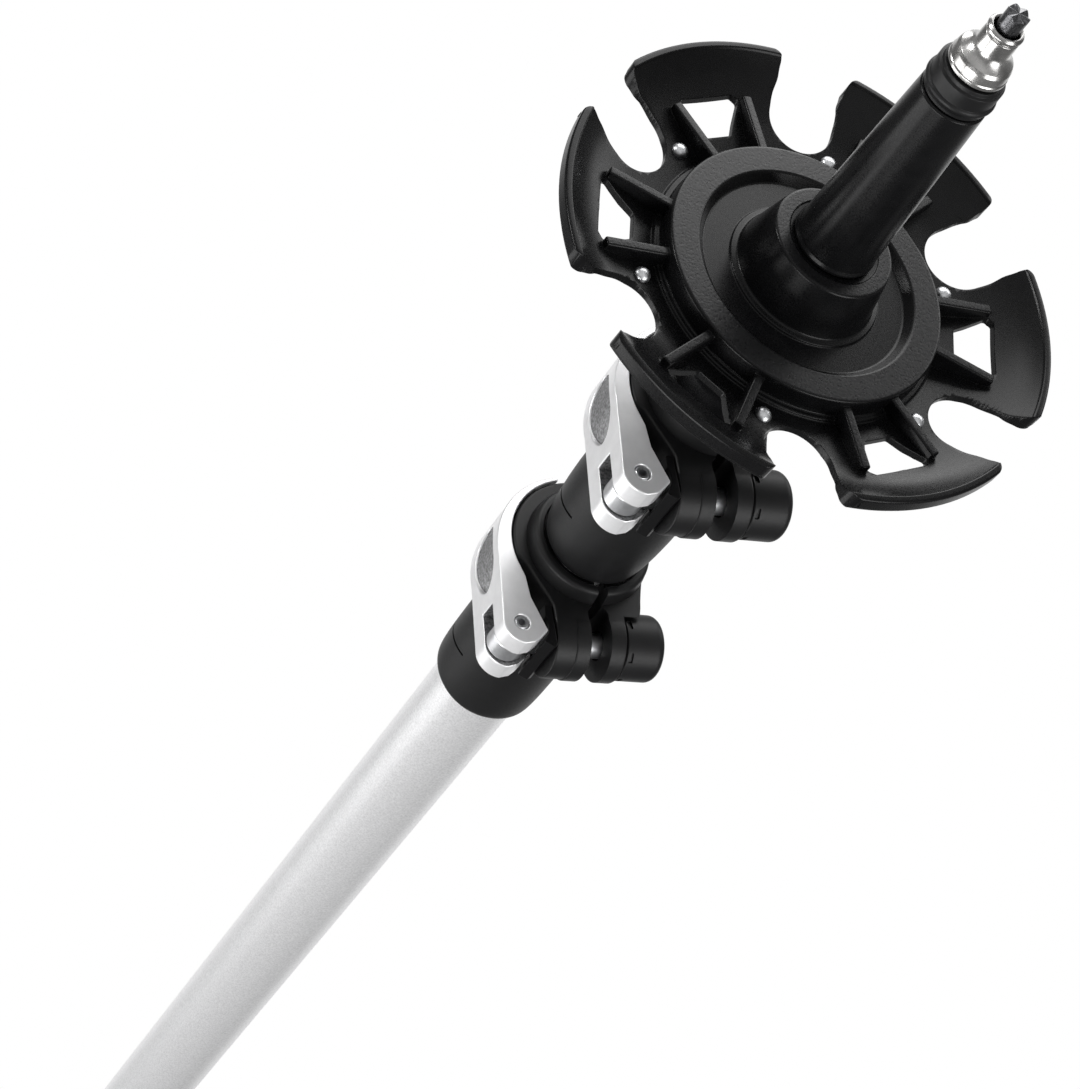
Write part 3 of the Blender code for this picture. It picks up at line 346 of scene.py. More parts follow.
def break_edges(item, width, segments=2, angle=35):
    """Rounds every edge sharper than the angle, as a mould or a tumbler leaves it."""
    return apply_modifier(item, "BEVEL", width=width * MM, segments=segments, limit_method="ANGLE",
                          angle_limit=math.radians(angle), use_clamp_overlap=False, harden_normals=False)


def smooth_off(item, angle=32):
    pick_up(item)
    bpy.ops.object.shade_smooth_by_angle(angle=math.radians(angle))
    return apply_modifier(item, "WEIGHTED_NORMAL", keep_sharp=True)


def turned_piece(name, profile, corner, steps=FINE_STEPS):
    """A finished piece straight off the lathe, its corners rounded."""
    return smooth_off(turn_on_lathe(name, round_corners(profile, corner), steps))


def shift(item, x=0.0, y=0.0, z=0.0):
    """Moves a piece with its place kept in its mesh."""
    open_up(item)
    bpy.ops.transform.translate(value=metres((x, y, z)))
    put_down()
    return item


def copy_of(item, name):
    """A copy with its own mesh."""
    pick_up(item)
    bpy.ops.object.duplicate()
    made = bpy.context.active_object
    made.name = made.data.name = name
    return made


def turn(item, angle, axis="Z", centre=(0, 0, 0)):
    """Turns a piece by so many degrees; without a window the operator turns the other way."""
    open_up(item)
    bpy.ops.transform.rotate(value=math.radians(-angle), orient_axis=axis, center_override=metres(centre))
    put_down()
    return item


def ring_of_copies(item, angles):
    """Sets copies of a piece round the pole at these angles, in degrees, and joins them into one."""
    copies = [turn(copy_of(item, f"{item.name}_{index}"), angle) for index, angle in enumerate(angles)]
    bpy.data.objects.remove(item)
    pick_up(copies[0])
    for made in copies:
        made.select_set(True)
    bpy.ops.object.join()
    return copies[0]


def round_corners(points, radius, steps=4):
    """Rounds a closed outline's corners, less where its sides are short, and none on the turning axis."""
    straight, most_of_side = 0.2, 0.45
    made = []
    for index, point in enumerate(points):
        here = Vector(point)
        back = Vector(points[index - 1]) - here
        ahead = Vector(points[(index + 1) % len(points)]) - here
        bend = math.pi - back.angle(ahead)
        if bend < straight or here.x == 0:
            made.append(tuple(here))
            continue
        trim = min(radius * math.tan(bend / 2), most_of_side * back.length, most_of_side * ahead.length)
        start, end = here + back.normalized() * trim, here + ahead.normalized() * trim
        for step in range(steps + 1):
            t = step / steps
            made.append(tuple((1 - t) ** 2 * start + 2 * t * (1 - t) * here + t ** 2 * end))
    return made


def smooth_line(points, steps=4):
    """A flowing line through the points, which keeps both ends."""
    ends = points[:1] + points + points[-1:]
    line = []
    for four in zip(ends, ends[1:], ends[2:], ends[3:]):
        for step in range(steps):
            t = step / steps
            line.append(tuple(0.5 * (2 * q + (r - p) * t + (2 * p - 5 * q + 4 * r - s) * t * t
                                     + (3 * q - p - 3 * r + s) * t ** 3) for p, q, r, s in zip(*four)))
    return line + points[-1:]


def arc(centre, radius, start, end, count):
    """Points along an arc, angles in degrees, both ends included."""
    angles = [math.radians(start + (end - start) * i / count) for i in range(count + 1)]
    return [(centre[0] + radius * math.cos(a), centre[1] + radius * math.sin(a)) for a in angles]


def mirrored(side):
    """A whole outline from its upper side: the lower side first, then the upper one back again."""
    return [(u, -v) for u, v in side] + side[::-1]


# Finishes


def linear(hex_colour):
    """Turns an sRGB hex colour into the linear values of a shader."""
    parts = [int(hex_colour[i:i + 2], 16) / 255 for i in (1, 3, 5)]
    return [v / 12.92 if v <= 0.04045 else ((v + 0.055) / 1.055) ** 2.4 for v in parts] + [1.0]


def add_node(tree, kind, inputs=None, links=None, **settings):
    """Adds a shader node with its settings, its socket values and its links."""
    made = tree.nodes.new("ShaderNode" + kind)
    for key, value in settings.items():
        setattr(made, key, value)
    for socket, value in (inputs or {}).items():
        made.inputs[socket].default_value = value
    for socket, output in (links or {}).items():
        tree.links.new(output, made.inputs[socket])
    return made


def mottle(tree, shader, dark, light, size, detail=3.0):
    """Lets the colour drift between two shades over patches of a real size."""
    place = {"Vector": add_node(tree, "TexCoord").outputs["Object"]}
    noise = add_node(tree, "TexNoise", {"Scale": 1 / (size * MM), "Detail": detail}, place)
    shades = add_node(tree, "ValToRGB", links={"Fac": noise.outputs["Fac"]})
    for stop, position, colour in zip(shades.color_ramp.elements, (0.3, 0.7), (dark, light)):
        stop.position, stop.color = position, linear(colour)
    tree.links.new(shades.outputs["Color"], shader.inputs["Base Color"])


def grain(tree, shader, size, depth, rough_low, rough_high, detail=2.0):
    """Fine surface grain: bumps of a real size and depth, and a roughness that follows them."""
    place = {"Vector": add_node(tree, "TexCoord").outputs["Object"]}
    grit = {"Scale": 1 / (size * MM), "Detail": detail, "Roughness": 0.55}
    height = add_node(tree, "TexNoise", grit, place).outputs["Fac"]
    bump = add_node(tree, "Bump", {"Strength": 1.0, "Distance": depth * MM}, {"Height": height})
    tree.links.new(bump.outputs["Normal"], shader.inputs["Normal"])
    spread = {"From Min": 0.3, "From Max": 0.7, "To Min": rough_low, "To Max": rough_high}
    rough = add_node(tree, "MapRange", spread, {"Value": height})
    tree.links.new(rough.outputs["Result"], shader.inputs["Roughness"])


def weave(tree, shader, row, column, depth):
    """Raised threads of a plain weave: rows and columns of a real pitch cross on the webbing's own map."""
    pitch_at_scale_one = 0.314
    place = {"Vector": add_node(tree, "UVMap", uv_map="weave").outputs["UV"]}
    rows, columns = [add_node(tree, "TexWave", {"Scale": pitch_at_scale_one / (pitch * MM)}, place,
                              bands_direction=way).outputs["Fac"]
                     for pitch, way in ((row, "Y"), (column, "X"))]
    threads = add_node(tree, "Math", links={0: rows, 1: columns}, operation="MULTIPLY").outputs[0]
    relief = add_node(tree, "Bump", {"Strength": 1.0, "Distance": depth * MM}, {"Height": threads})
    tree.links.new(relief.outputs["Normal"], shader.inputs["Normal"])


def start_finish(name, colour, roughness, metallic=0.0, specular=0.5):
    """A plain finish to build on: its material, its node tree and its shader."""
    material = bpy.data.materials.new(name)
    material.use_nodes = True
    shader = material.node_tree.nodes["Principled BSDF"]
    for socket, value in (("Base Color", linear(colour)), ("Roughness", roughness), ("Metallic", metallic),
                          ("Specular IOR Level", specular)):
        shader.inputs[socket].default_value = value
    return material, material.node_tree, shader


def make_finish(slot, plain, *patterns):
    """Builds one finish of the table below and notes the record's slot that it belongs to."""
    material, tree, shader = start_finish(*plain)
    material["slot"] = slot
    for pattern, *values in patterns:
        pattern(tree, shader, *values)
    return material


# Each finish: the record's slot; its name, colour, roughness, metallic and specular level; and its patterns,
# mottle (dark, light, patch size, detail) and grain (size, depth, lowest and highest roughness, detail)
FINISHES = {
    # Glass-filled nylon, moulded in a spark-eroded tool: satin black whose fibres leave a faint pale fleck
    "nylon": ("glass_filled_nylon", ("moulded_glass_filled_nylon", "#0C0C0D", 0.42, 0.0, 0.3),
              (mottle, "#0A0A0B", "#0F0F10", 2.5), (grain, 0.25, 0.004, 0.42, 0.52)),
    # Acetal, moulded in a polished tool: denser black with a smoother, waxier sheen
    "acetal": ("acetal", ("moulded_acetal", "#0A0A0B", 0.38, 0.0, 0.18), (grain, 0.4, 0.002, 0.34, 0.42)),
    # Unfilled polyamide from a polished tool: black with a soft gloss on ribs and rims
    "basket": ("basket_polyamide", ("moulded_polyamide", "#0C0C0D", 0.28, 0.0, 0.18),
               (mottle, "#0A0A0B", "#0F0F10", 3.0), (grain, 0.35, 0.003, 0.24, 0.33)),
    # The same polyamide where the tool is spark eroded, on ring and ribs: a rough grain that scatters light
    "eroded": ("basket_polyamide", ("eroded_polyamide", "#121213", 0.3, 0.0, 0.26),
               (mottle, "#0B0B0C", "#1A1A1B", 0.4), (grain, 0.5, 0.05, 0.26, 0.36, 3.0)),
    # The same polyamide towards the grip, from an etched tool: matt, so it stays black at a low angle
    "etched": ("basket_polyamide", ("etched_polyamide", "#0E0E0F", 0.6, 0.0, 0.14),
               (grain, 0.5, 0.01, 0.55, 0.65)),
    # Die-cast aluminium, tumbled and satin anodised: pale silver with soft bright edges
    "aluminium": ("satin_lever_aluminium", ("satin_cast_aluminium", "#E4E4E5", 0.38, 0.5),
                  (mottle, "#DFDFE0", "#E9E9EA", 3.0), (grain, 0.12, 0.0015, 0.3, 0.4)),
    # The lever's hollows, left as cast and blasted: a coarse open grain, and a mid grey colour that paints
    # shade into the recess and inside the fork
    "blasted_and_shaded": ("satin_lever_aluminium", ("blasted_aluminium_painted_shade", "#9A9A9B", 0.6, 1.0),
                (mottle, "#6A6A6B", "#A8A8A9", 0.45), (grain, 0.3, 0.03, 0.5, 0.7)),
    # Drawn aluminium tube, etched and clear anodised: silver with a fine sparkle across a satin sheen
    "tube": ("satin_anodised_tube", ("anodised_drawn_tube", "#ECECED", 0.36, 0.6),
             (mottle, "#DEDEDF", "#F8F8F9", 0.4), (grain, 0.3, 0.006, 0.28, 0.4)),
    # Steel turned and zinc plated: bright bluish grey, slightly cloudy
    "steel": ("zinc_plated_steel", ("bright_zinc_steel", "#D6D7D9", 0.38, 1.0),
              (mottle, "#D0D1D3", "#DCDDDF", 1.0), (grain, 0.3, 0.0006, 0.3, 0.4)),
    # Brass turned and nickel plated: bright, with large grey patches at random, painted to stand in for the
    # dark reflections that a glossy bell shows
    "nickel": ("nickel_plate", ("bright_nickel", "#C5C4C2", 0.3, 1.0),
               (mottle, "#959493", "#D1D0CE", 3.4, 0.0), (grain, 0.8, 0.0008, 0.22, 0.3)),
    # Tungsten carbide, sintered and ground: dark grey, granular, with bright ground facets
    "carbide": ("tungsten_carbide", ("ground_carbide", "#5E5E60", 0.3, 1.0),
                (mottle, "#4C4C4E", "#707072", 0.3, 1.0), (grain, 0.15, 0.006, 0.2, 0.36)),
    # Turned brass: yellow with a fine tool mark
    "brass": ("turned_brass", ("machined_brass", "#B9954F", 0.3, 1.0), (grain, 0.3, 0.001, 0.25, 0.35)),
    # Thermoplastic elastomer, moulded in an etched tool: deep matt black with a leather-like grain
    "elastomer": ("grip_elastomer", ("grained_elastomer", "#1B1B1C", 0.68, 0.0, 0.35),
                  (mottle, "#181819", "#1F1F20", 4.0), (grain, 0.6, 0.02, 0.6, 0.75)),
    # Closed-cell EVA foam, ground to shape: charcoal with fine open cells
    "foam": ("eva_foam", ("ground_eva_foam", "#232324", 0.9, 0.0, 0.3),
             (mottle, "#1E1E1F", "#29292A", 0.6), (grain, 0.45, 0.05, 0.85, 0.95)),
    # Polyester webbing, plain woven: matt black; about twice the real thread pitch, so that the weave shows
    "webbing": ("polyester_webbing", ("woven_polyester", "#1D1D1E", 0.85, 0.0, 0.3),
                (mottle, "#19191A", "#222223", 0.8), (weave, 1.4, 1.8, 0.25))}


def dress(item, finish, body, *nodes):
    """Gives a finished piece its finish and body, and says which nodes it stands for."""
    item.data.materials.clear()
    item.data.materials.append(finishes[finish])
    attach(item, body)
    if nodes:
        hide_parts(*nodes)
    return item


def line_faces(item, finish, wanted):
    """Gives some faces another finish, chosen by their middle in millimetres and their normal."""
    item.data.materials.append(finishes[finish])
    for face in item.data.polygons:
        if wanted(face.center / MM, face.normal):
            face.material_index = len(item.data.materials) - 1


# The lever clamp


def clamp_outline():
    """The clamp seen along the pole, without the ears' round ends."""
    lever_side, back = arc((0, 0), COLLAR_R, -10, 110, 60), arc((0, 0), COLLAR_BACK_R, 126, 182, 28)
    knob_flank = [(-11.95, -1.9), (-11.5, -3.4), (-10.9, -5.6), (-10.2, -8.2),
                  (-9.7, -10.4), (-9.4, -12.1), (-9.0, -13.6), (-EAR_X, BOLT_Y)]
    lever_flank = [(EAR_X, BOLT_Y), (EAR_X, -13.0), (9.6, -11.3), (10.6, -9.3),
                   (11.6, -7.3), (12.5, -5.4), (13.2, -3.9)]
    return lever_flank + lever_side + back + knob_flank


def slot_outline():
    """The slit between the ears: narrow through the wall, then a wide gap with a rounded head."""
    wide, narrow = 2.1, 0.8
    head_y, end_y = BOLT_Y + 2.6, BOLT_Y - 2 * EAR_R
    right, left = arc((0, head_y), wide, 62, 0, 12), arc((0, head_y), wide, 180, 118, 12)
    return [(narrow, 0)] + right + [(wide, end_y), (-wide, end_y)] + left + [(-narrow, 0)]


def clamp_body(name, tube_r, inner_r, bluntness):
    """The split nylon barrel: collar and ears, lip, barrel, bores, slit, bolt hole and nut seat."""
    outer_bore, inner_bore = tube_r + GAP, inner_r + GAP
    lip_z = -HALF - LIP_LENGTH
    end_r = outer_bore + 1.0
    body = break_edges(extrude_outline(name, clamp_outline(), -HALF, HALF), 0.6, 3, 60)
    ears = break_edges(rod("ears", EAR_R, -NUT_SEAT_X, 5.0, "X", BOLT_LINE, EAR_STEPS), 0.4, 2, 60)
    boss = break_edges(rod("boss", EAR_R - 0.25, 4.0, EAR_X, "X", BOLT_LINE, EAR_STEPS), 0.4, 2, 60)
    shell = [(inner_bore - 1, lip_z)] + arc((LIP_R - 1.3, lip_z + 1.0), 1.0, -90, 0, 8)
    shell += [(LIP_R, lip_z + 2.6), (LIP_R, 0), (BARREL_R + 1.2, 0)]
    shell += arc((BARREL_R + 0.7, HALF + 0.2), 0.6, 0, 80, 5)
    shell += [(BARREL_R + 0.25, HALF + 1.4), (BARREL_R + 0.07, HALF + 2.3), (BARREL_R, HALF + 3.5)]
    straight, steps = BARREL_CURVE_START, 16
    for step in range(steps + 1):
        station = BARREL_LENGTH * (straight + (1 - straight) * (step / steps) ** 0.7)
        reach = (station / BARREL_LENGTH - straight) / (1 - straight)
        shell.append((end_r + (BARREL_R - end_r) * (1 - reach ** bluntness) ** (1 / bluntness), station))
    shell.append((inner_bore - 1, BARREL_LENGTH))
    weld(body, ears, boss, turn_on_lathe("shell", shell))
    mouth, edge = lip_z + LIP_RECESS_DEPTH, 0.35
    bore = [(0, lip_z - 1), (LIP_RECESS_R + edge + 1, lip_z - 1), (LIP_RECESS_R + edge, lip_z),
            (LIP_RECESS_R, lip_z + edge), (LIP_RECESS_R, mouth), (inner_bore + edge, mouth),
            (inner_bore, mouth + edge), (inner_bore, TUBE_STOP_Z), (outer_bore, TUBE_STOP_Z),
            (outer_bore, BARREL_LENGTH + 1), (0, BARREL_LENGTH + 1)]
    slit = extrude_outline("slit", slot_outline(), lip_z - 1, HALF + 4.5)
    hole = rod("hole", BOLT_R + BOLT_PLAY, -COLLAR_R, COLLAR_R, "X", BOLT_LINE)
    seat = rod("seat", EAR_R + 0.3, -2 * COLLAR_R, -NUT_SEAT_X, "X", BOLT_LINE, EAR_STEPS)
    start, end = GROOVE_ARC
    sector = arc((0, 0), BARREL_R + 2, start, end, 60) + arc((0, 0), BARREL_R - 0.5, end, start, 60)
    groove = shift(turn(extrude_outline("groove", sector, -0.25, 0.25), GROOVE_TILT, "X"), z=GROOVE_Z)
    cut(body, turn_on_lathe("bore", bore), slit, hole, seat, groove)
    open_up(body)
    bpy.ops.mesh.remove_doubles(threshold=0.01 * MM)
    put_down()
    return smooth_off(body)


def lever_back():
    """Centre, radius and end angle of the arc of the lever's back."""
    inside_r, tail_angle = COLLAR_R + GAP, math.radians(LEVER_TAIL_ANGLE)
    side = Vector((inside_r + LEVER_WALL, LEVER_SIDE_Y))
    tail = (inside_r + LEVER_TAIL_WALL) * Vector((math.cos(tail_angle), math.sin(tail_angle)))
    chord = tail - side
    back_r = chord.length_squared / (2 * abs(chord.x))
    centre = (side.x - back_r, side.y)
    return centre, back_r, math.degrees(math.atan2(tail.y - centre[1], tail.x - centre[0]))


def lever_arm(name):
    """The forked aluminium lever, lying closed round the collar."""
    centre, back_r, end_angle = lever_back()
    outline = arc(centre, back_r, 0, end_angle, 48)
    outline += arc((0, 0), COLLAR_R + GAP, LEVER_TAIL_ANGLE, -14, 48) + [(13.6, -7.0)]
    nose = [(10.9, -18.3), (12.5, -19.9), (13.8, -20.85)]
    all_but_ends = slice(5, -5)
    cam = round_corners([(13.5, -7.3), (13.3, -11.4)] + nose + [(CAM_X, BOLT_Y - CAM_R)], 0.6)[all_but_ends]
    cam += arc((CAM_X, BOLT_Y), CAM_R, 276, 370, 30)
    arm = extrude_outline(name, outline + cam, -HALF, HALF)
    fork = block("fork", (0, BOLT_Y - 3 * CAM_R, -EYE_HALF - GAP), (2 * PIN_X, FORK_TOP_Y, EYE_HALF + GAP))
    hole = rod("hole", PIN_R + PIN_PLAY, -HALF - 1, HALF + 1, "Z", PIN_LINE)
    half_y, half_z = RECESS_HALF
    oval = [(half_y * c, half_z * s) for c, s in arc((0, 0), 1, 0, 355, 71)]
    recess = extrude_outline("recess", oval, 0, 2 * COLLAR_R, "X")
    core = arc(centre, back_r - RECESS_DEPTH, -40, end_angle, 40) + [(-COLLAR_R, 0)]
    cut(recess, extrude_outline("core", core, -2 * HALF, 2 * HALF))
    cut(arm, fork, hole, recess)
    return smooth_off(break_edges(arm, 0.3, 3, 40))


def lever_hollows(height):
    """Says which faces of a lever are the floor of its oval recess or the inside of its fork, where a darker
    finish paints shade.
    """
    centre, back_r, _ = lever_back()
    half_y, half_z = RECESS_HALF
    off_floor, off_wall = 0.2, 0.05

    def hollow(place, normal):
        in_oval = (place.y / half_y) ** 2 + ((place.z - height) / half_z) ** 2 < 1 and place.x > centre[0]
        at_floor = abs((place.xy - Vector(centre)).length - back_r + RECESS_DEPTH) < off_floor
        in_fork = place.y < FORK_TOP_Y + off_wall and abs(place.z - height) < EYE_HALF + GAP + off_wall
        return in_oval and at_floor or in_fork

    return hollow


def eye_bolt(name):
    """The bolt through both ears: a round eye with a flat neck, and a shank with its thread."""
    eye = rod(name, EYE_R, -EYE_HALF, EYE_HALF, "Z", PIN_LINE, 64)
    weld(eye, block("neck", (9.0, BOLT_Y - 1.7, -EYE_HALF), (PIN_X - 2.4, BOLT_Y + 1.7, EYE_HALF)))
    cut(eye, rod("hole", PIN_R + PIN_PLAY, -EYE_R, EYE_R, "Z", PIN_LINE))
    break_edges(eye, 0.25, 2, 40)
    end, pitch, turns = -(NUT_SEAT_X + NUT_LENGTH - 1.5), 0.8, 8
    profile = [(0, end), (BOLT_R - 0.6, end)]
    for z in (end + 0.6 + pitch * index for index in range(turns)):
        profile += [(BOLT_R - 0.35, z), (BOLT_R, z + 0.3), (BOLT_R, z + 0.45)]
    profile += [(BOLT_R, 10.0), (0, 10.0)]
    return smooth_off(weld(eye, turn_on_lathe("shank", profile, SMALL_STEPS, "X", BOLT_LINE)))


def lever_pin(name):
    """The pin that the lever turns on: chamfered ends and a hexagon socket towards the tip."""
    end = HALF - 0.2
    profile = [(0, -end), (PIN_R - 0.25, -end), (PIN_R, -end + 0.25), (PIN_R, end - 0.25),
               (PIN_R - 0.25, end), (0, end)]
    pin = turn_on_lathe(name, profile, SMALL_STEPS, centre=PIN_LINE)
    return smooth_off(cut(pin, rod("socket", 0.8, -end - 1, -end + 2.8, "Z", PIN_LINE, 6)))


def cam_saddle(name):
    """The curved pad between the cam and the ear."""
    flat_x = EAR_X + GAP
    hollow = arc((CAM_X, BOLT_Y), CAM_R + GAP, 222, 158, 24)
    outline = [(flat_x, BOLT_Y + 4.2), (hollow[-1][0] - 0.2, BOLT_Y + 4.2)] + hollow[::-1]
    outline += [(hollow[0][0] + 0.1, hollow[0][1] - 0.5), (flat_x + 0.8, BOLT_Y - 4.6),
                (flat_x, BOLT_Y - 4.2)]
    pad = extrude_outline(name, outline, -HALF + GAP, HALF - GAP)
    cut(pad, rod("hole", BOLT_R + BOLT_PLAY, 0, 2 * CAM_X, "X", BOLT_LINE))
    return smooth_off(break_edges(pad, 0.15, 2, 40))


def thumb_nut(name):
    """The moulded adjusting nut with its rounded end and six small notches near the ear."""
    start = NUT_SEAT_X + GAP
    end = start + NUT_LENGTH
    fillet, hollow_r, notches, first_angle = 1.8, 3.9, 6, 12
    profile = [(hollow_r, -start), (NUT_R - 0.3, -start), (NUT_R, -start - 0.3)]
    profile += arc((NUT_R - fillet, -(end - fillet)), fillet, 0, -90, 12)
    profile += [(0, -end), (0, -end + 1.5), (hollow_r, -end + 1.5)]
    nut = turn_on_lathe(name, profile, ROUND_STEPS, "X", BOLT_LINE)
    for index in range(notches):
        notch = block("notch", (-start - 1.5, -1.0, NUT_R - 0.5), (-start - 0.6, 1.0, NUT_R + 1))
        angle = 360 / notches * index + first_angle
        cut(nut, shift(turn(break_edges(notch, 0.2), angle, "X"), y=BOLT_Y))
    return smooth_off(nut)


def nut_insert(name):
    """The brass hexagon insert inside the nut."""
    near, across_flats = -(NUT_SEAT_X + GAP + 0.5), 7.4
    insert = rod(name, across_flats / 2 / math.cos(math.radians(30)), near - 5.6, near, "X", BOLT_LINE, 6)
    cut(insert, rod("thread", BOLT_R + GAP, near - 7, near + 1, "X", BOLT_LINE))
    return smooth_off(break_edges(insert, 0.2, 2, 40))


def fit_clamps():
    """Each level's own barrel, and a copy for each of the pieces that both clamps share."""
    levels = [("upper", UPPER_CLAMP_Z, "upper_section"), ("lower", LOWER_CLAMP_Z, "middle_section")]
    shapes = [(UPPER_TUBE_R, MIDDLE_TUBE_R, 3.5), (MIDDLE_TUBE_R, LOWER_TUBE_R, 2.0)]
    for (level, height, section), shape in zip(levels, shapes):
        body = shift(clamp_body(f"{level}_clamp_barrel", *shape), z=height)
        dress(body, "nylon", section, f"{level}_clamp_body")
    shared = [("lever_arm", lever_arm, "lever_arm", "lever", "aluminium"),
              ("bolt", eye_bolt, None, "eye_bolt", "steel"),
              ("pin", lever_pin, "lever_arm", "lever_pin", "steel"),
              ("pad", cam_saddle, None, "cam_saddle", "acetal"),
              ("knob", thumb_nut, "nut", "thumb_nut", "nylon"),
              ("core", nut_insert, "nut", "nut_insert", "brass")]
    for word, maker, rides, node, finish in shared:
        upper = maker(f"upper_{word}")
        for item, (level, height, section) in zip((upper, copy_of(upper, f"lower_{word}")), levels):
            body = f"{level}_{rides}" if rides else section
            dress(shift(item, z=height), finish, body, f"{level}_{node}")
            if maker is lever_arm:
                # The lever's hollows get the darker blasted finish: a real coarse grain, with painted shade
                # in its grey
                line_faces(item, "blasted_and_shaded", lever_hollows(height))


# The tubes and plugs


def drawn_tube(name, radius, low, high):
    """A drawn tube with its cut ends just broken."""
    profile = [(radius - TUBE_WALL, low), (radius, low), (radius, high), (radius - TUBE_WALL, high)]
    return turned_piece(name, profile, 0.15)


def swaged_tube(name, low, high):
    """The thinnest tube, drawn down where it pushes into the sleeve."""
    cone_low = NECK_END_Z + 0.4
    cone_high = cone_low + 2.2
    profile = [(SWAGED_R - TUBE_WALL, low), (SWAGED_R, low), (SWAGED_R, cone_low), (LOWER_TUBE_R, cone_high),
               (LOWER_TUBE_R, high), (LOWER_TUBE_R - TUBE_WALL, high), (LOWER_TUBE_R - TUBE_WALL, cone_high),
               (SWAGED_R - TUBE_WALL, cone_low)]
    return turned_piece(name, profile, 0.15)


def guide_plug(name, radius, tube_top):
    """The plug in a tube's inner end: a stem with a lead-in, and a flange that slides in the next tube."""
    stem_r, low = radius - TUBE_WALL - GAP, tube_top + GAP
    high, stem_low = low + 5.0, low - 14.0
    profile = [(0, stem_low), (stem_r - 1.0, stem_low), (stem_r, stem_low + 1.0), (stem_r, low),
               (radius, low), (radius, high - 1.0), (radius - 1.0, high), (0, high)]
    return turned_piece(name, profile, 0.2, 64)


def fit_tubes():
    """The three telescoping tubes and the two plugs at their inner ends."""
    stop = TUBE_STOP_Z + GAP
    shafts = (drawn_tube("upper_shaft", UPPER_TUBE_R, UPPER_CLAMP_Z + stop, UPPER_TUBE_TOP_Z),
              drawn_tube("middle_shaft", MIDDLE_TUBE_R, LOWER_CLAMP_Z + stop, MIDDLE_TUBE_TOP_Z),
              swaged_tube("lower_shaft", BASKET_FACE_Z + 1.0, LOWER_TUBE_TOP_Z))
    for shaft, level in zip(shafts, ("upper", "middle", "lower")):
        dress(shaft, "tube", f"{level}_section", f"{level}_tube")
    for level, radius, top in (("middle", MIDDLE_TUBE_R, MIDDLE_TUBE_TOP_Z),
                               ("lower", LOWER_TUBE_R, LOWER_TUBE_TOP_Z)):
        plug = guide_plug(f"{level}_guide_plug", radius, top)
        dress(plug, "acetal", f"{level}_section", f"{level}_end_plug")


# The tip


def carbide_rod(name):
    """The sintered rod, its end ground by six radial V grooves into a star of thin ridges."""
    profile = [(0, 0), (CARBIDE_R, 0), (CARBIDE_R, CARBIDE_LENGTH), (0, CARBIDE_LENGTH)]
    tip = turn_on_lathe(name, round_corners(profile, 0.12), EAR_STEPS)
    reach, deep, wide, below, end_share, grooves = 2 * CARBIDE_R, 1.15, 2.15, -0.1, 0.04, 6
    groove = draw_face("groove", [(reach, -wide, below), (reach, wide, below), (reach, 0, deep)])
    pull(x=-reach)
    bpy.ops.transform.resize(value=(1, end_share, end_share), center_override=(0, 0, 0))
    tidy_mesh()
    put_down()
    cut(tip, *[turn(copy_of(groove, f"cutter_{i}"), 360 / grooves * i) for i in range(grooves)])
    bpy.data.objects.remove(groove)
    return smooth_off(break_edges(tip, 0.04, 2, 30))


def ferrule_bell(name):
    """The nickel-plated bell: nose ring, plain neck, flare, shoulder and foot bead, with its stem."""
    nose, bell, z0 = FERRULE_NOSE_R, FERRULE_BELL_R, FERRULE_Z
    flare = [(nose + (bell - nose) * (1 - math.cos(share * math.pi / 2)) * 0.72, z0 + 4.0 + share * 2.2)
             for share in (step / 12 for step in range(13))]
    bore_r, bore_end = CARBIDE_R + GAP, CARBIDE_LENGTH + GAP
    profile = [(bore_r, z0 + 0.35), (bore_r + 0.25, z0), (nose - 0.35, z0), (nose, z0 + 0.45),
               (nose, z0 + 0.95), (nose - 0.4, z0 + 1.15), (nose - 0.4, z0 + 1.3),
               (nose - 0.12, z0 + 1.5)] + flare
    profile += [(bell - 0.3, z0 + 6.8), (bell - 0.16, z0 + 7.7), (bell - 0.16, z0 + 8.3),
                (bell, z0 + 8.5), (bell, z0 + 9.1), (bell - 0.3, BELL_END_Z), (STEM_R, BELL_END_Z),
                (STEM_R, STEM_END_Z), (0, STEM_END_Z), (0, bore_end), (bore_r, bore_end)]
    return turned_piece(name, profile, 0.18)


def collar_ring(name):
    """The ring between ferrule and sleeve, stepped at the tip and beaded next to the sleeve."""
    bore_r, high = STEM_R + GAP, RING_Z + RING_LENGTH
    bead_z = high - 1.7
    profile = [(bore_r, RING_Z), (RING_R - 0.6, RING_Z), (RING_R - 0.5, RING_Z + 0.7),
               (RING_R, RING_Z + 0.9), (RING_R, bead_z - 1.7)]
    profile += arc((BEAD_R - 0.75, bead_z), 0.75, -62, 62, 12)
    profile += [(RING_R - 0.2, high - 0.5), (RING_R - 0.2, high), (bore_r, high)]
    return turned_piece(name, profile, 0.15)


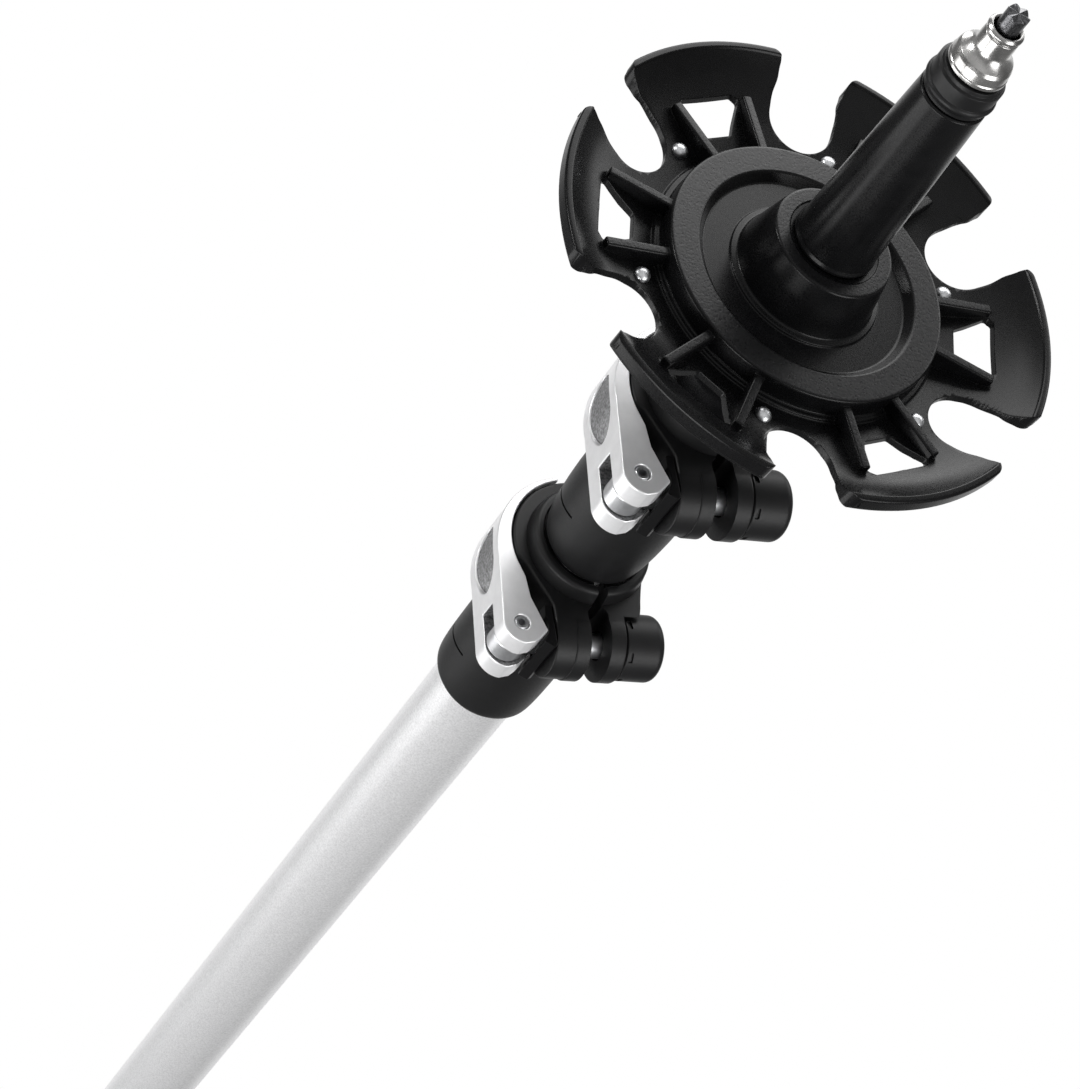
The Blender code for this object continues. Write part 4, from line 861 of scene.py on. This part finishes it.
def sleeve_moulding(name):
    """The tapered sleeve in one moulding: taper, basket seat, cup with a hexagon on its floor, and neck."""
    stem_r, stem_end = STEM_R + GAP, STEM_END_Z + GAP
    wall_end, wall_bore = stem_end + 4.0, 4.0
    socket_r, cup_in = SWAGED_R + GAP, CUP_R - CUP_WALL
    foot, bead, stem_out = HUB_TOP_Z - 0.16, SLEEVE_HUB_R + 0.22, SLEEVE_HUB_R - 0.65
    profile = [(stem_r, SLEEVE_Z), (SLEEVE_TIP_R - 0.3, SLEEVE_Z), (SLEEVE_TIP_R, SLEEVE_Z + 0.3),
               (SLEEVE_HUB_R, foot - 1.3), (bead, foot - 0.7), (bead, foot - 0.35), (SLEEVE_HUB_R, foot),
               (stem_out, foot), (stem_out, BASKET_FACE_Z), (SLEEVE_SEAT_R, BASKET_FACE_Z + 0.8),
               (SLEEVE_SEAT_R, CUP_FLOOR_Z), (cup_in - 0.6, CUP_FLOOR_Z), (cup_in, CUP_FLOOR_Z - 0.8),
               (cup_in + 0.1, CUP_RIM_Z), (CUP_R, CUP_RIM_Z), (CUP_R, CUP_FLOOR_Z - 1.0)]
    for share in (step / 16 for step in range(1, 16)):
        profile.append((NECK_R + (CUP_R - NECK_R) * (1 + math.cos(share * math.pi)) / 2,
                        CUP_FLOOR_Z - 1.0 + share * (CUP_FLARE + 1.0)))
    profile += [(NECK_R, CUP_FLOOR_Z + CUP_FLARE), (NECK_R, NECK_END_Z), (socket_r, NECK_END_Z),
                (socket_r, BASKET_FACE_Z - 6), (wall_bore, BASKET_FACE_Z - 8), (wall_bore, wall_end),
                (stem_r, wall_end - 1), (stem_r, stem_end)]
    sleeve = turn_on_lathe(name, round_corners(profile, 0.3), FINE_STEPS)
    hexagon = rod("hexagon", cup_in - 0.7, CUP_FLOOR_Z - 3.2, CUP_FLOOR_Z + 1, "Z", steps=6)
    cut(hexagon, rod("core", socket_r + 0.5, CUP_FLOOR_Z - 5, CUP_FLOOR_Z + 2, "Z"))
    return smooth_off(weld(sleeve, break_edges(hexagon, 0.3, 3, 40)))


def fit_tip():
    """Carbide, ferrule, collar ring and sleeve, all on the lowest section."""
    for maker, finish, node in ((carbide_rod, "carbide", "carbide_tip"),
                                (ferrule_bell, "nickel", "tip_ferrule"),
                                (collar_ring, "nylon", "tip_collar"),
                                (sleeve_moulding, "basket", "tip_sleeve")):
        dress(maker(maker.__name__), finish, "lower_section", node)


# The snow basket


def basket_section():
    """Half section of the whole basket before its notches and windows are cut."""
    floor_low = DISH_FLOOR_Z + PLATE_WALL
    bore, mouth = SLEEVE_SEAT_R + GAP + BASKET_OFF_CENTRE, SLEEVE_HUB_R - 0.2
    neck, neck_end = bore + 1.5, CUP_RIM_Z - 0.5
    tip_side = [(bore, BASKET_FACE_Z), (mouth, BASKET_FACE_Z - 3.0), (mouth, HUB_TOP_Z + 0.6),
                (mouth + 0.2, HUB_TOP_Z + 0.2), (mouth + 1.2, HUB_TOP_Z + 0.2),
                (mouth + 1.35, HUB_TOP_Z), (HUB_TOP_R, HUB_TOP_Z),
                (HUB_BASE_R, DISH_FLOOR_Z - 0.6), (HUB_BASE_R + 1.1, DISH_FLOOR_Z - 0.45),
                (HUB_BASE_R + 1.2, DISH_FLOOR_Z), (RING_INNER_R - 1.4, DISH_FLOOR_Z),
                (RING_INNER_R - 0.4, BASKET_FACE_Z + 0.4), (RING_INNER_R, BASKET_FACE_Z),
                (RING_OUTER_R, BASKET_FACE_Z), (RING_OUTER_R, PLATE_Z - 0.6),
                (RING_OUTER_R + 1.0, PLATE_Z - 0.55), (RING_OUTER_R + 1.2, PLATE_Z)]
    tip_side += smooth_line(PLATE_BOWL) + [(PLATE_BOWL[-1][0] + 0.25, RIM_TOP_Z)]
    rim = [(BASKET_R, RIM_TOP_Z), (BASKET_R, RIM_LOW_Z - 0.9), (BASKET_R - 0.5, RIM_LOW_Z - 0.7),
           (BASKET_R - 0.5, RIM_LOW_Z)]
    under = [(r - 0.6, z + PLATE_WALL) for r, z in PLATE_BOWL[1:5]]
    grip_side = [(RING_INNER_R, PLATE_Z + PLATE_WALL), (HUB_BASE_R + 1.5, floor_low), (neck + 0.8, floor_low),
                 (neck, floor_low + 1.0), (neck, neck_end), (bore, neck_end)]
    return round_corners(tip_side + rim + smooth_line(under)[::-1] + grip_side, 0.6)


def notch_outline():
    """One notch between two petals: a round root, flanks drawn in a little, and the petals' round corners."""
    centre, corner = NOTCH_ROOT + NOTCH_R, 2.2
    corner_u = math.sqrt((BASKET_R - corner) ** 2 - (NOTCH_MOUTH + corner) ** 2)
    side = smooth_line([(centre, NOTCH_R), (centre + 2.4, NOTCH_R + 0.1), (centre + 4.6, NOTCH_MOUTH - 0.3),
                        (corner_u - 0.6, NOTCH_MOUTH - 0.1), (corner_u, NOTCH_MOUTH)])[1:-1]
    nearly_tangent = math.degrees(math.atan2(NOTCH_MOUTH + corner, corner_u)) - 3
    side += arc((corner_u, NOTCH_MOUTH + corner), corner, -90, nearly_tangent, 16)
    side.append((side[-1][0] + 3, side[-1][1] + 0.6))
    return arc((centre, 0), NOTCH_R, 90, 270, 40) + mirrored(side)


def window_outline():
    """The opening between a petal's two ribs, much wider towards the rim, with its outer corners cut off."""
    near, far = WINDOW_HALF_WIDTHS
    corner = 1.1
    side = [(WINDOW_INNER_R, near), (WINDOW_OUTER_R - corner, far), (WINDOW_OUTER_R, far - corner)]
    return round_corners(mirrored(side), 0.6)


def basket_moulding(name):
    """The dished ring with its hub, six petals with their ribs and windows, and the rim."""
    basket = turn_on_lathe(name, basket_section(), BASKET_STEPS)
    foot = RING_OUTER_R - 1.0
    flank = [(foot, RIB_TOP_Z), (RIB_END_R, RIB_TOP_Z), (RIB_END_R, PLATE_BOWL[2][1] + 0.6),
             (foot, PLATE_Z + 0.6)]
    rib = break_edges(extrude_outline("rib", flank, -RIB_WALL / 2, RIB_WALL / 2, "Y"), 0.38, 3)
    rib_angles = [petal + side * RIB_HALF_ANGLE for petal in PETALS for side in (-1, 1)]
    weld(basket, ring_of_copies(rib, rib_angles))
    for tool, outline, angles in (("notch", notch_outline(), [petal + 30 for petal in PETALS]),
                                  ("window", window_outline(), PETALS)):
        cut(basket, ring_of_copies(extrude_outline(tool, outline, RIM_TOP_Z - 2, CUP_RIM_Z), angles))
    return smooth_off(break_edges(basket, 0.12, 2, 50), 38)


def basket_pip(name, angle):
    """One of the bright domed pips that mark the basket's thread."""
    seat = PLATE_BOWL[0][1]
    edge, flatness = seat - 0.1, 0.8
    dome = [(0, seat + 0.6), (PIP_R, seat + 0.6), (PIP_R, edge)]
    dome += [(PIP_R * c, edge - PIP_R * flatness * s) for c, s in arc((0, 0), 1, 10, 80, 7)]
    dome.append((0, edge - PIP_R * flatness))
    return smooth_off(turn(turn_on_lathe(name, dome, 40, centre=(PIP_PLACE_R, 0, 0)), angle))


def lean(item):
    """Tips a piece of the basket with the play that its hub has on the sleeve."""
    pivot = (0, 0, BASKET_PIVOT_Z)
    leaning = turn(turn(item, BASKET_LEAN_X, "Y", pivot), -BASKET_LEAN_Y, "X", pivot)
    return shift(leaning, x=BASKET_OFF_CENTRE, y=BASKET_OFF_UP)


def fit_basket():
    """The moulding and its six pips, which all turn with the basket."""
    lands = ((0, HUB_TOP_R, HUB_TOP_Z), (RING_INNER_R, RING_OUTER_R, BASKET_FACE_Z),
             (RING_OUTER_R, BASKET_R, RIB_TOP_Z))
    off_land, upward = 0.02, 0.3

    def raised_land(place, normal):
        out = place.xy.length
        return any(low < out < high and abs(place.z - level) < off_land for low, high, level in lands)

    basket = dress(basket_moulding("basket_moulding"), "basket", "basket", "snow_basket")
    line_faces(basket, "eroded", raised_land)
    line_faces(basket, "etched", lambda place, normal: normal.z > upward and not raised_land(place, normal))
    lean(basket)
    for number, petal in enumerate(PETALS, 1):
        dress(lean(basket_pip(f"basket_pip_{number}", petal + PIP_ANGLE)), "steel", "basket")


# The grip and the strap


def oval_ring(height, centre_y, half_x, half_y, count=56, power=2.4):
    """A rounded oblong seen along the pole, at one height."""
    ring = []
    for step in range(count):
        a = 2 * math.pi * step / count
        c, s = math.cos(a), math.sin(a)
        ring.append((half_x * math.copysign(abs(c) ** (2 / power), c),
                     centre_y + half_y * math.copysign(abs(s) ** (2 / power), s), height))
    return ring


def raise_ovals(name, stations):
    """Pulls an oval face up from station to station: height, centre y, half width x, half depth y."""
    item = draw_face(name, oval_ring(*stations[0]))
    for before, after in zip(stations, stations[1:]):
        pull(y=after[1] - before[1], z=after[0] - before[0])
        bpy.ops.transform.resize(value=(after[2] / before[2], after[3] / before[3], 1),
                                 center_override=metres((0, after[1], after[0])))
    tidy_mesh()
    put_down()
    return item


def grip_moulding(name):
    """The head: skirt, ringed waist, finger rests and a palm knob that leans forward, bored and pocketed."""
    length = POLE_LENGTH - CAP_HEIGHT - GRIP_HEAD_Z
    outline = [(0.0, 0.0, 15.0, 15.4), (0.004, 0.0, 15.4, 15.9), (0.03, 0.0, 15.8, 16.3),
               (0.09, -0.2, 14.6, 15.4), (0.18, -0.6, 13.3, 14.2), (0.28, -0.9, 13.2, 14.6),
               (0.38, -0.8, 13.6, 15.2), (0.48, -0.9, 13.5, 14.8), (0.58, -1.2, 13.9, 15.4),
               (0.68, -2.0, 14.8, 17.2), (0.77, -2.9, 16.0, 19.6), (0.85, -3.4, 17.0, 21.6),
               (0.92, -3.6, 17.4, 22.6), (0.97, -3.6, 16.9, 22.1), (0.993, -3.6, 16.0, 21.1),
               (1.0, -3.6, 15.4, 20.4)]

    def size_at(share):
        for before, after in zip(outline, outline[1:]):
            if share <= after[0]:
                part = (share - before[0]) / (after[0] - before[0])
                part = part * part * (3 - 2 * part) if 0.03 < share < 0.97 else part
                return [b + (a - b) * part for b, a in zip(before[1:], after[1:])]
        return outline[-1][1:]

    grooves = [0.13 + 0.028 * index for index in range(5)] + [0.52 + 0.028 * index for index in range(4)]
    shares = {share: 0.0 for share, *_ in outline}
    for groove in grooves:
        shares = {share: depth for share, depth in shares.items() if abs(share - groove) > 0.014}
        shares.update({groove - 0.008: 0.0, groove - 0.004: 0.32, groove + 0.004: 0.32, groove + 0.008: 0.0})
    stations = []
    for share in sorted(shares):
        centre, half_x, half_y = size_at(share)
        depth = shares[share]
        stations.append((GRIP_HEAD_Z + share * length, centre, half_x - depth, half_y - depth))
    head = raise_ovals(name, stations)
    apply_modifier(head, "SUBSURF", levels=1, render_levels=1)
    bore = rod("bore", UPPER_TUBE_R + GAP, GRIP_HEAD_Z - 1, UPPER_TUBE_TOP_Z + GAP, "Z", steps=ROUND_STEPS)
    half = STRAP_WIDTH / 2 + GAP
    pocket = block("pocket", (-half, POCKET_Y, POCKET_FLOOR_Z), (half, 40, POCKET_FLOOR_Z + POCKET_HEIGHT))
    return smooth_off(cut(head, bore, pocket), 40)


def foam_sleeve(name):
    """The foam sleeve below the head, ground round with six shallow grooves."""
    low, high, r = GRIP_SLEEVE_Z, GRIP_HEAD_Z - GAP, GRIP_SLEEVE_R
    bore_r = UPPER_TUBE_R + GAP
    profile = [(bore_r, low), (r - 1.6, low), (r - 0.5, low + 0.5), (r, low + 1.8)]
    margin, grooves, depth, half_steps = 12, 6, 0.9, 5
    for index in range(grooves):
        z = low + margin + (high - low - 2 * margin) / (grooves - 1) * index
        profile += [(r - depth * (1 + math.cos(math.pi * step / half_steps)) / 2, z + step * 0.32)
                    for step in range(-half_steps, half_steps + 1)]
    profile += [(r, high - 1.0), (r - 0.8, high), (bore_r, high)]
    return turned_piece(name, profile, 0.5, ROUND_STEPS)


def grip_lid(name):
    """The shallow domed cap on top of the head, with a turned-in ring."""
    low = POLE_LENGTH - CAP_HEIGHT + 0.03
    rise = POLE_LENGTH - low
    steps = [(0.0, 0.985), (0.06, 1.0), (0.35, 0.985), (0.6, 0.93), (0.78, 0.84), (0.86, 0.79), (0.83, 0.77),
             (0.83, 0.75), (0.93, 0.72), (0.97, 0.6), (1.0, 0.4), (1.0, 0.1)]
    lid = raise_ovals(name, [(low + rise * share, -3.6, 15.2 * size, 20.2 * size) for share, size in steps])
    return smooth_off(apply_modifier(lid, "SUBSURF", levels=2, render_levels=2), 40)


def wedge_plug(name):
    """The wedge that locks both plies of the strap, with finger ridges on its outer face."""
    low = POCKET_FLOOR_Z + 2 * GAP + 1.6 + 2 * STRAP_THICKNESS + GAP
    high = low + 6.5
    ceiling = POCKET_FLOOR_Z + POCKET_HEIGHT - GAP
    near = POCKET_Y + GAP
    outline = [(near, low), (17.6, low), (18.2, low + 1.0)]
    for ridge in range(3):
        z, y = low + 2.0 + 1.7 * ridge, 18.1 - 0.18 * ridge
        outline += [(y, z), (y - 0.35, z + 0.3), (y - 0.35, z + 0.7), (y, z + 1.0)]
    outline += [(17.4, high + 1.6), (16.4, min(high + 2.2, ceiling)), (near, high)]
    wedge = extrude_outline(name, outline, -STRAP_WIDTH / 2 + GAP, STRAP_WIDTH / 2 - GAP, "X")
    return smooth_off(break_edges(wedge, 0.15, 2, 40))


def strap_route():
    """The webbing's centre line across x, from its lower end in the pocket round to its upper end."""
    low_ply = POCKET_FLOOR_Z + GAP + STRAP_THICKNESS / 2
    high_ply = low_ply + STRAP_THICKNESS + GAP + 1.6
    start, bend, big = POCKET_Y + 1.5, 4.0, 14.0
    inner, outer = STRAP_INNER_Y, STRAP_OUTER_Y
    turn_r = (outer - inner) / 2
    route = [(start, low_ply), (inner - bend, low_ply)]
    route += arc((inner - bend, low_ply - bend), bend, 84, 0, 10)
    route += [(inner + 0.5, low_ply - 40), (inner + 0.9, low_ply - 90)]
    route += arc(((inner + outer) / 2, STRAP_BOTTOM_Z + turn_r), turn_r, 180, 360, 24)
    route += [(outer - 0.3, low_ply - 90), (outer - 1.2, low_ply - 40)]
    route += arc((outer - 2.2 - big, high_ply - big), big, 8, 90, 16)
    return route + [(start, high_ply)]


def wrist_loop(name):
    """The webbing loop: its route is drawn, pulled out to the strap's width and given its thickness."""
    route = strap_route()
    item = draw_line(name, [(-STRAP_WIDTH / 2, y, z) for y, z in route])
    pull(x=STRAP_WIDTH)
    bpy.ops.mesh.select_all(action="SELECT")
    bpy.ops.mesh.subdivide(number_cuts=1)
    put_down()
    route = [Vector(metres(point)) for point in route]
    run = [0.0]
    for before, after in zip(route, route[1:]):
        run.append(run[-1] + (after - before).length)
    map_layer = item.data.uv_layers.new(name="weave")
    for loop in item.data.loops:
        place = item.data.vertices[loop.vertex_index].co
        nearest = min(range(len(route)), key=lambda i: (route[i] - place.yz).length)
        map_layer.data[loop.index].uv = (place.x, run[nearest])
    apply_modifier(item, "SOLIDIFY", thickness=STRAP_THICKNESS * MM, offset=0.0, use_even_offset=True)
    return smooth_off(break_edges(item, 0.35, 3, 60), 40), run[-1]


def fit_grip():
    """Head, foam sleeve, cap, wedge and wrist loop, all on the upper section."""
    foam_piece = foam_sleeve("foam_grip_sleeve")
    loop, loop_length = wrist_loop("wrist_loop")
    for item, finish, node in ((grip_moulding("grip_moulding"), "elastomer", "grip_head"),
                               (foam_piece, "foam", "grip_sleeve"),
                               (grip_lid("grip_lid"), "nylon", "grip_cap"),
                               (wedge_plug("wedge_plug"), "nylon", "strap_wedge"),
                               (loop, "webbing", "wrist_strap")):
        dress(item, finish, "upper_section", node)


# The studio


def set_camera():
    """The camera at the picture's viewing angle."""
    lens = bpy.data.cameras.new("studio_camera")
    camera = bpy.data.objects.new("studio_camera", lens)
    bpy.context.scene.collection.objects.link(camera)
    turned = Matrix((CAMERA_RIGHT, CAMERA_UP, CAMERA_BACK)).transposed().to_4x4()
    camera.matrix_world = Matrix.Translation(CAMERA_PLACE) @ turned
    lens.sensor_fit = "VERTICAL"
    lens.sensor_height = SENSOR
    lens.lens = FOCAL_PIXELS / PICTURE_HEIGHT * SENSOR
    lens.clip_start = 0.01
    lens.clip_end = 50
    bpy.context.scene.camera = camera


def soft_lamp(name, towards, distance, size, power):
    """A square soft lamp that stands off the middle of the pole's lower end and faces it."""
    lamp = bpy.data.lights.new(name, "AREA")
    lamp.shape = "SQUARE"
    lamp.size = size
    lamp.energy = power
    item = bpy.data.objects.new(name, lamp)
    bpy.context.scene.collection.objects.link(item)
    direction = Vector(towards).normalized()
    facing = direction.to_track_quat("Z", "Y").to_matrix().to_4x4()
    item.matrix_world = Matrix.Translation(LAMP_TARGET + direction * distance) @ facing


def set_floor():
    """A pale floor far below the tip, which glows a little where the camera sees it."""
    put_down()
    bpy.ops.mesh.primitive_plane_add(size=FLOOR_SIZE, location=(0, 0, FLOOR_Z))
    floor = bpy.context.active_object
    floor.name = "studio_floor"
    paint, tree, shader = start_finish("floor_paint", "#E8E8E8", 0.9)
    path = add_node(tree, "LightPath").outputs
    glow = add_node(tree, "Math", {1: FLOOR_GLOW}, {0: path["Is Camera Ray"]}, operation="MULTIPLY")
    shader.inputs["Emission Color"].default_value = WHITE
    tree.links.new(glow.outputs[0], shader.inputs["Emission Strength"])
    floor.data.materials.append(paint)


def set_surround():
    """A surround that is dim as light, and white to the camera and in mirrors that look past the pole."""
    world = bpy.data.worlds.new("studio")
    bpy.context.scene.world = world
    world.use_nodes = True
    tree = world.node_tree
    background = tree.nodes["Background"]
    background.inputs["Color"].default_value = WHITE
    path = add_node(tree, "LightPath").outputs
    way = add_node(tree, "TexCoord").outputs["Generated"]
    ahead = add_node(tree, "VectorMath", {1: [-v for v in CAMERA_BACK]}, {0: way}, operation="DOT_PRODUCT")
    low, high = MIRROR_LOOKS_ALONG
    backdrop = add_node(tree, "MapRange", {"From Min": low, "From Max": high},
                        {"Value": ahead.outputs["Value"]}, interpolation_type="SMOOTHSTEP")
    in_mirror = add_node(tree, "Math", operation="MULTIPLY",
                         links={0: path["Is Glossy Ray"], 1: backdrop.outputs["Result"]})
    direct = add_node(tree, "Math", operation="MAXIMUM",
                      links={0: path["Is Camera Ray"], 1: path["Is Transmission Ray"]})
    seen = add_node(tree, "Math", operation="MAXIMUM",
                    links={0: direct.outputs[0], 1: in_mirror.outputs[0]})
    level = add_node(tree, "MapRange", {"To Min": SURROUND_LEVEL, "To Max": 1.0}, {"Value": seen.outputs[0]})
    tree.links.new(level.outputs["Result"], background.inputs["Strength"])


bpy.context.scene.view_settings.view_transform = "Standard"
set_camera()
set_floor()
set_surround()
for lamp_row in LAMPS:
    soft_lamp(*lamp_row)
finishes = {word: make_finish(*row) for word, row in FINISHES.items()}
fit_clamps()
fit_tubes()
fit_tip()
fit_basket()
fit_grip()
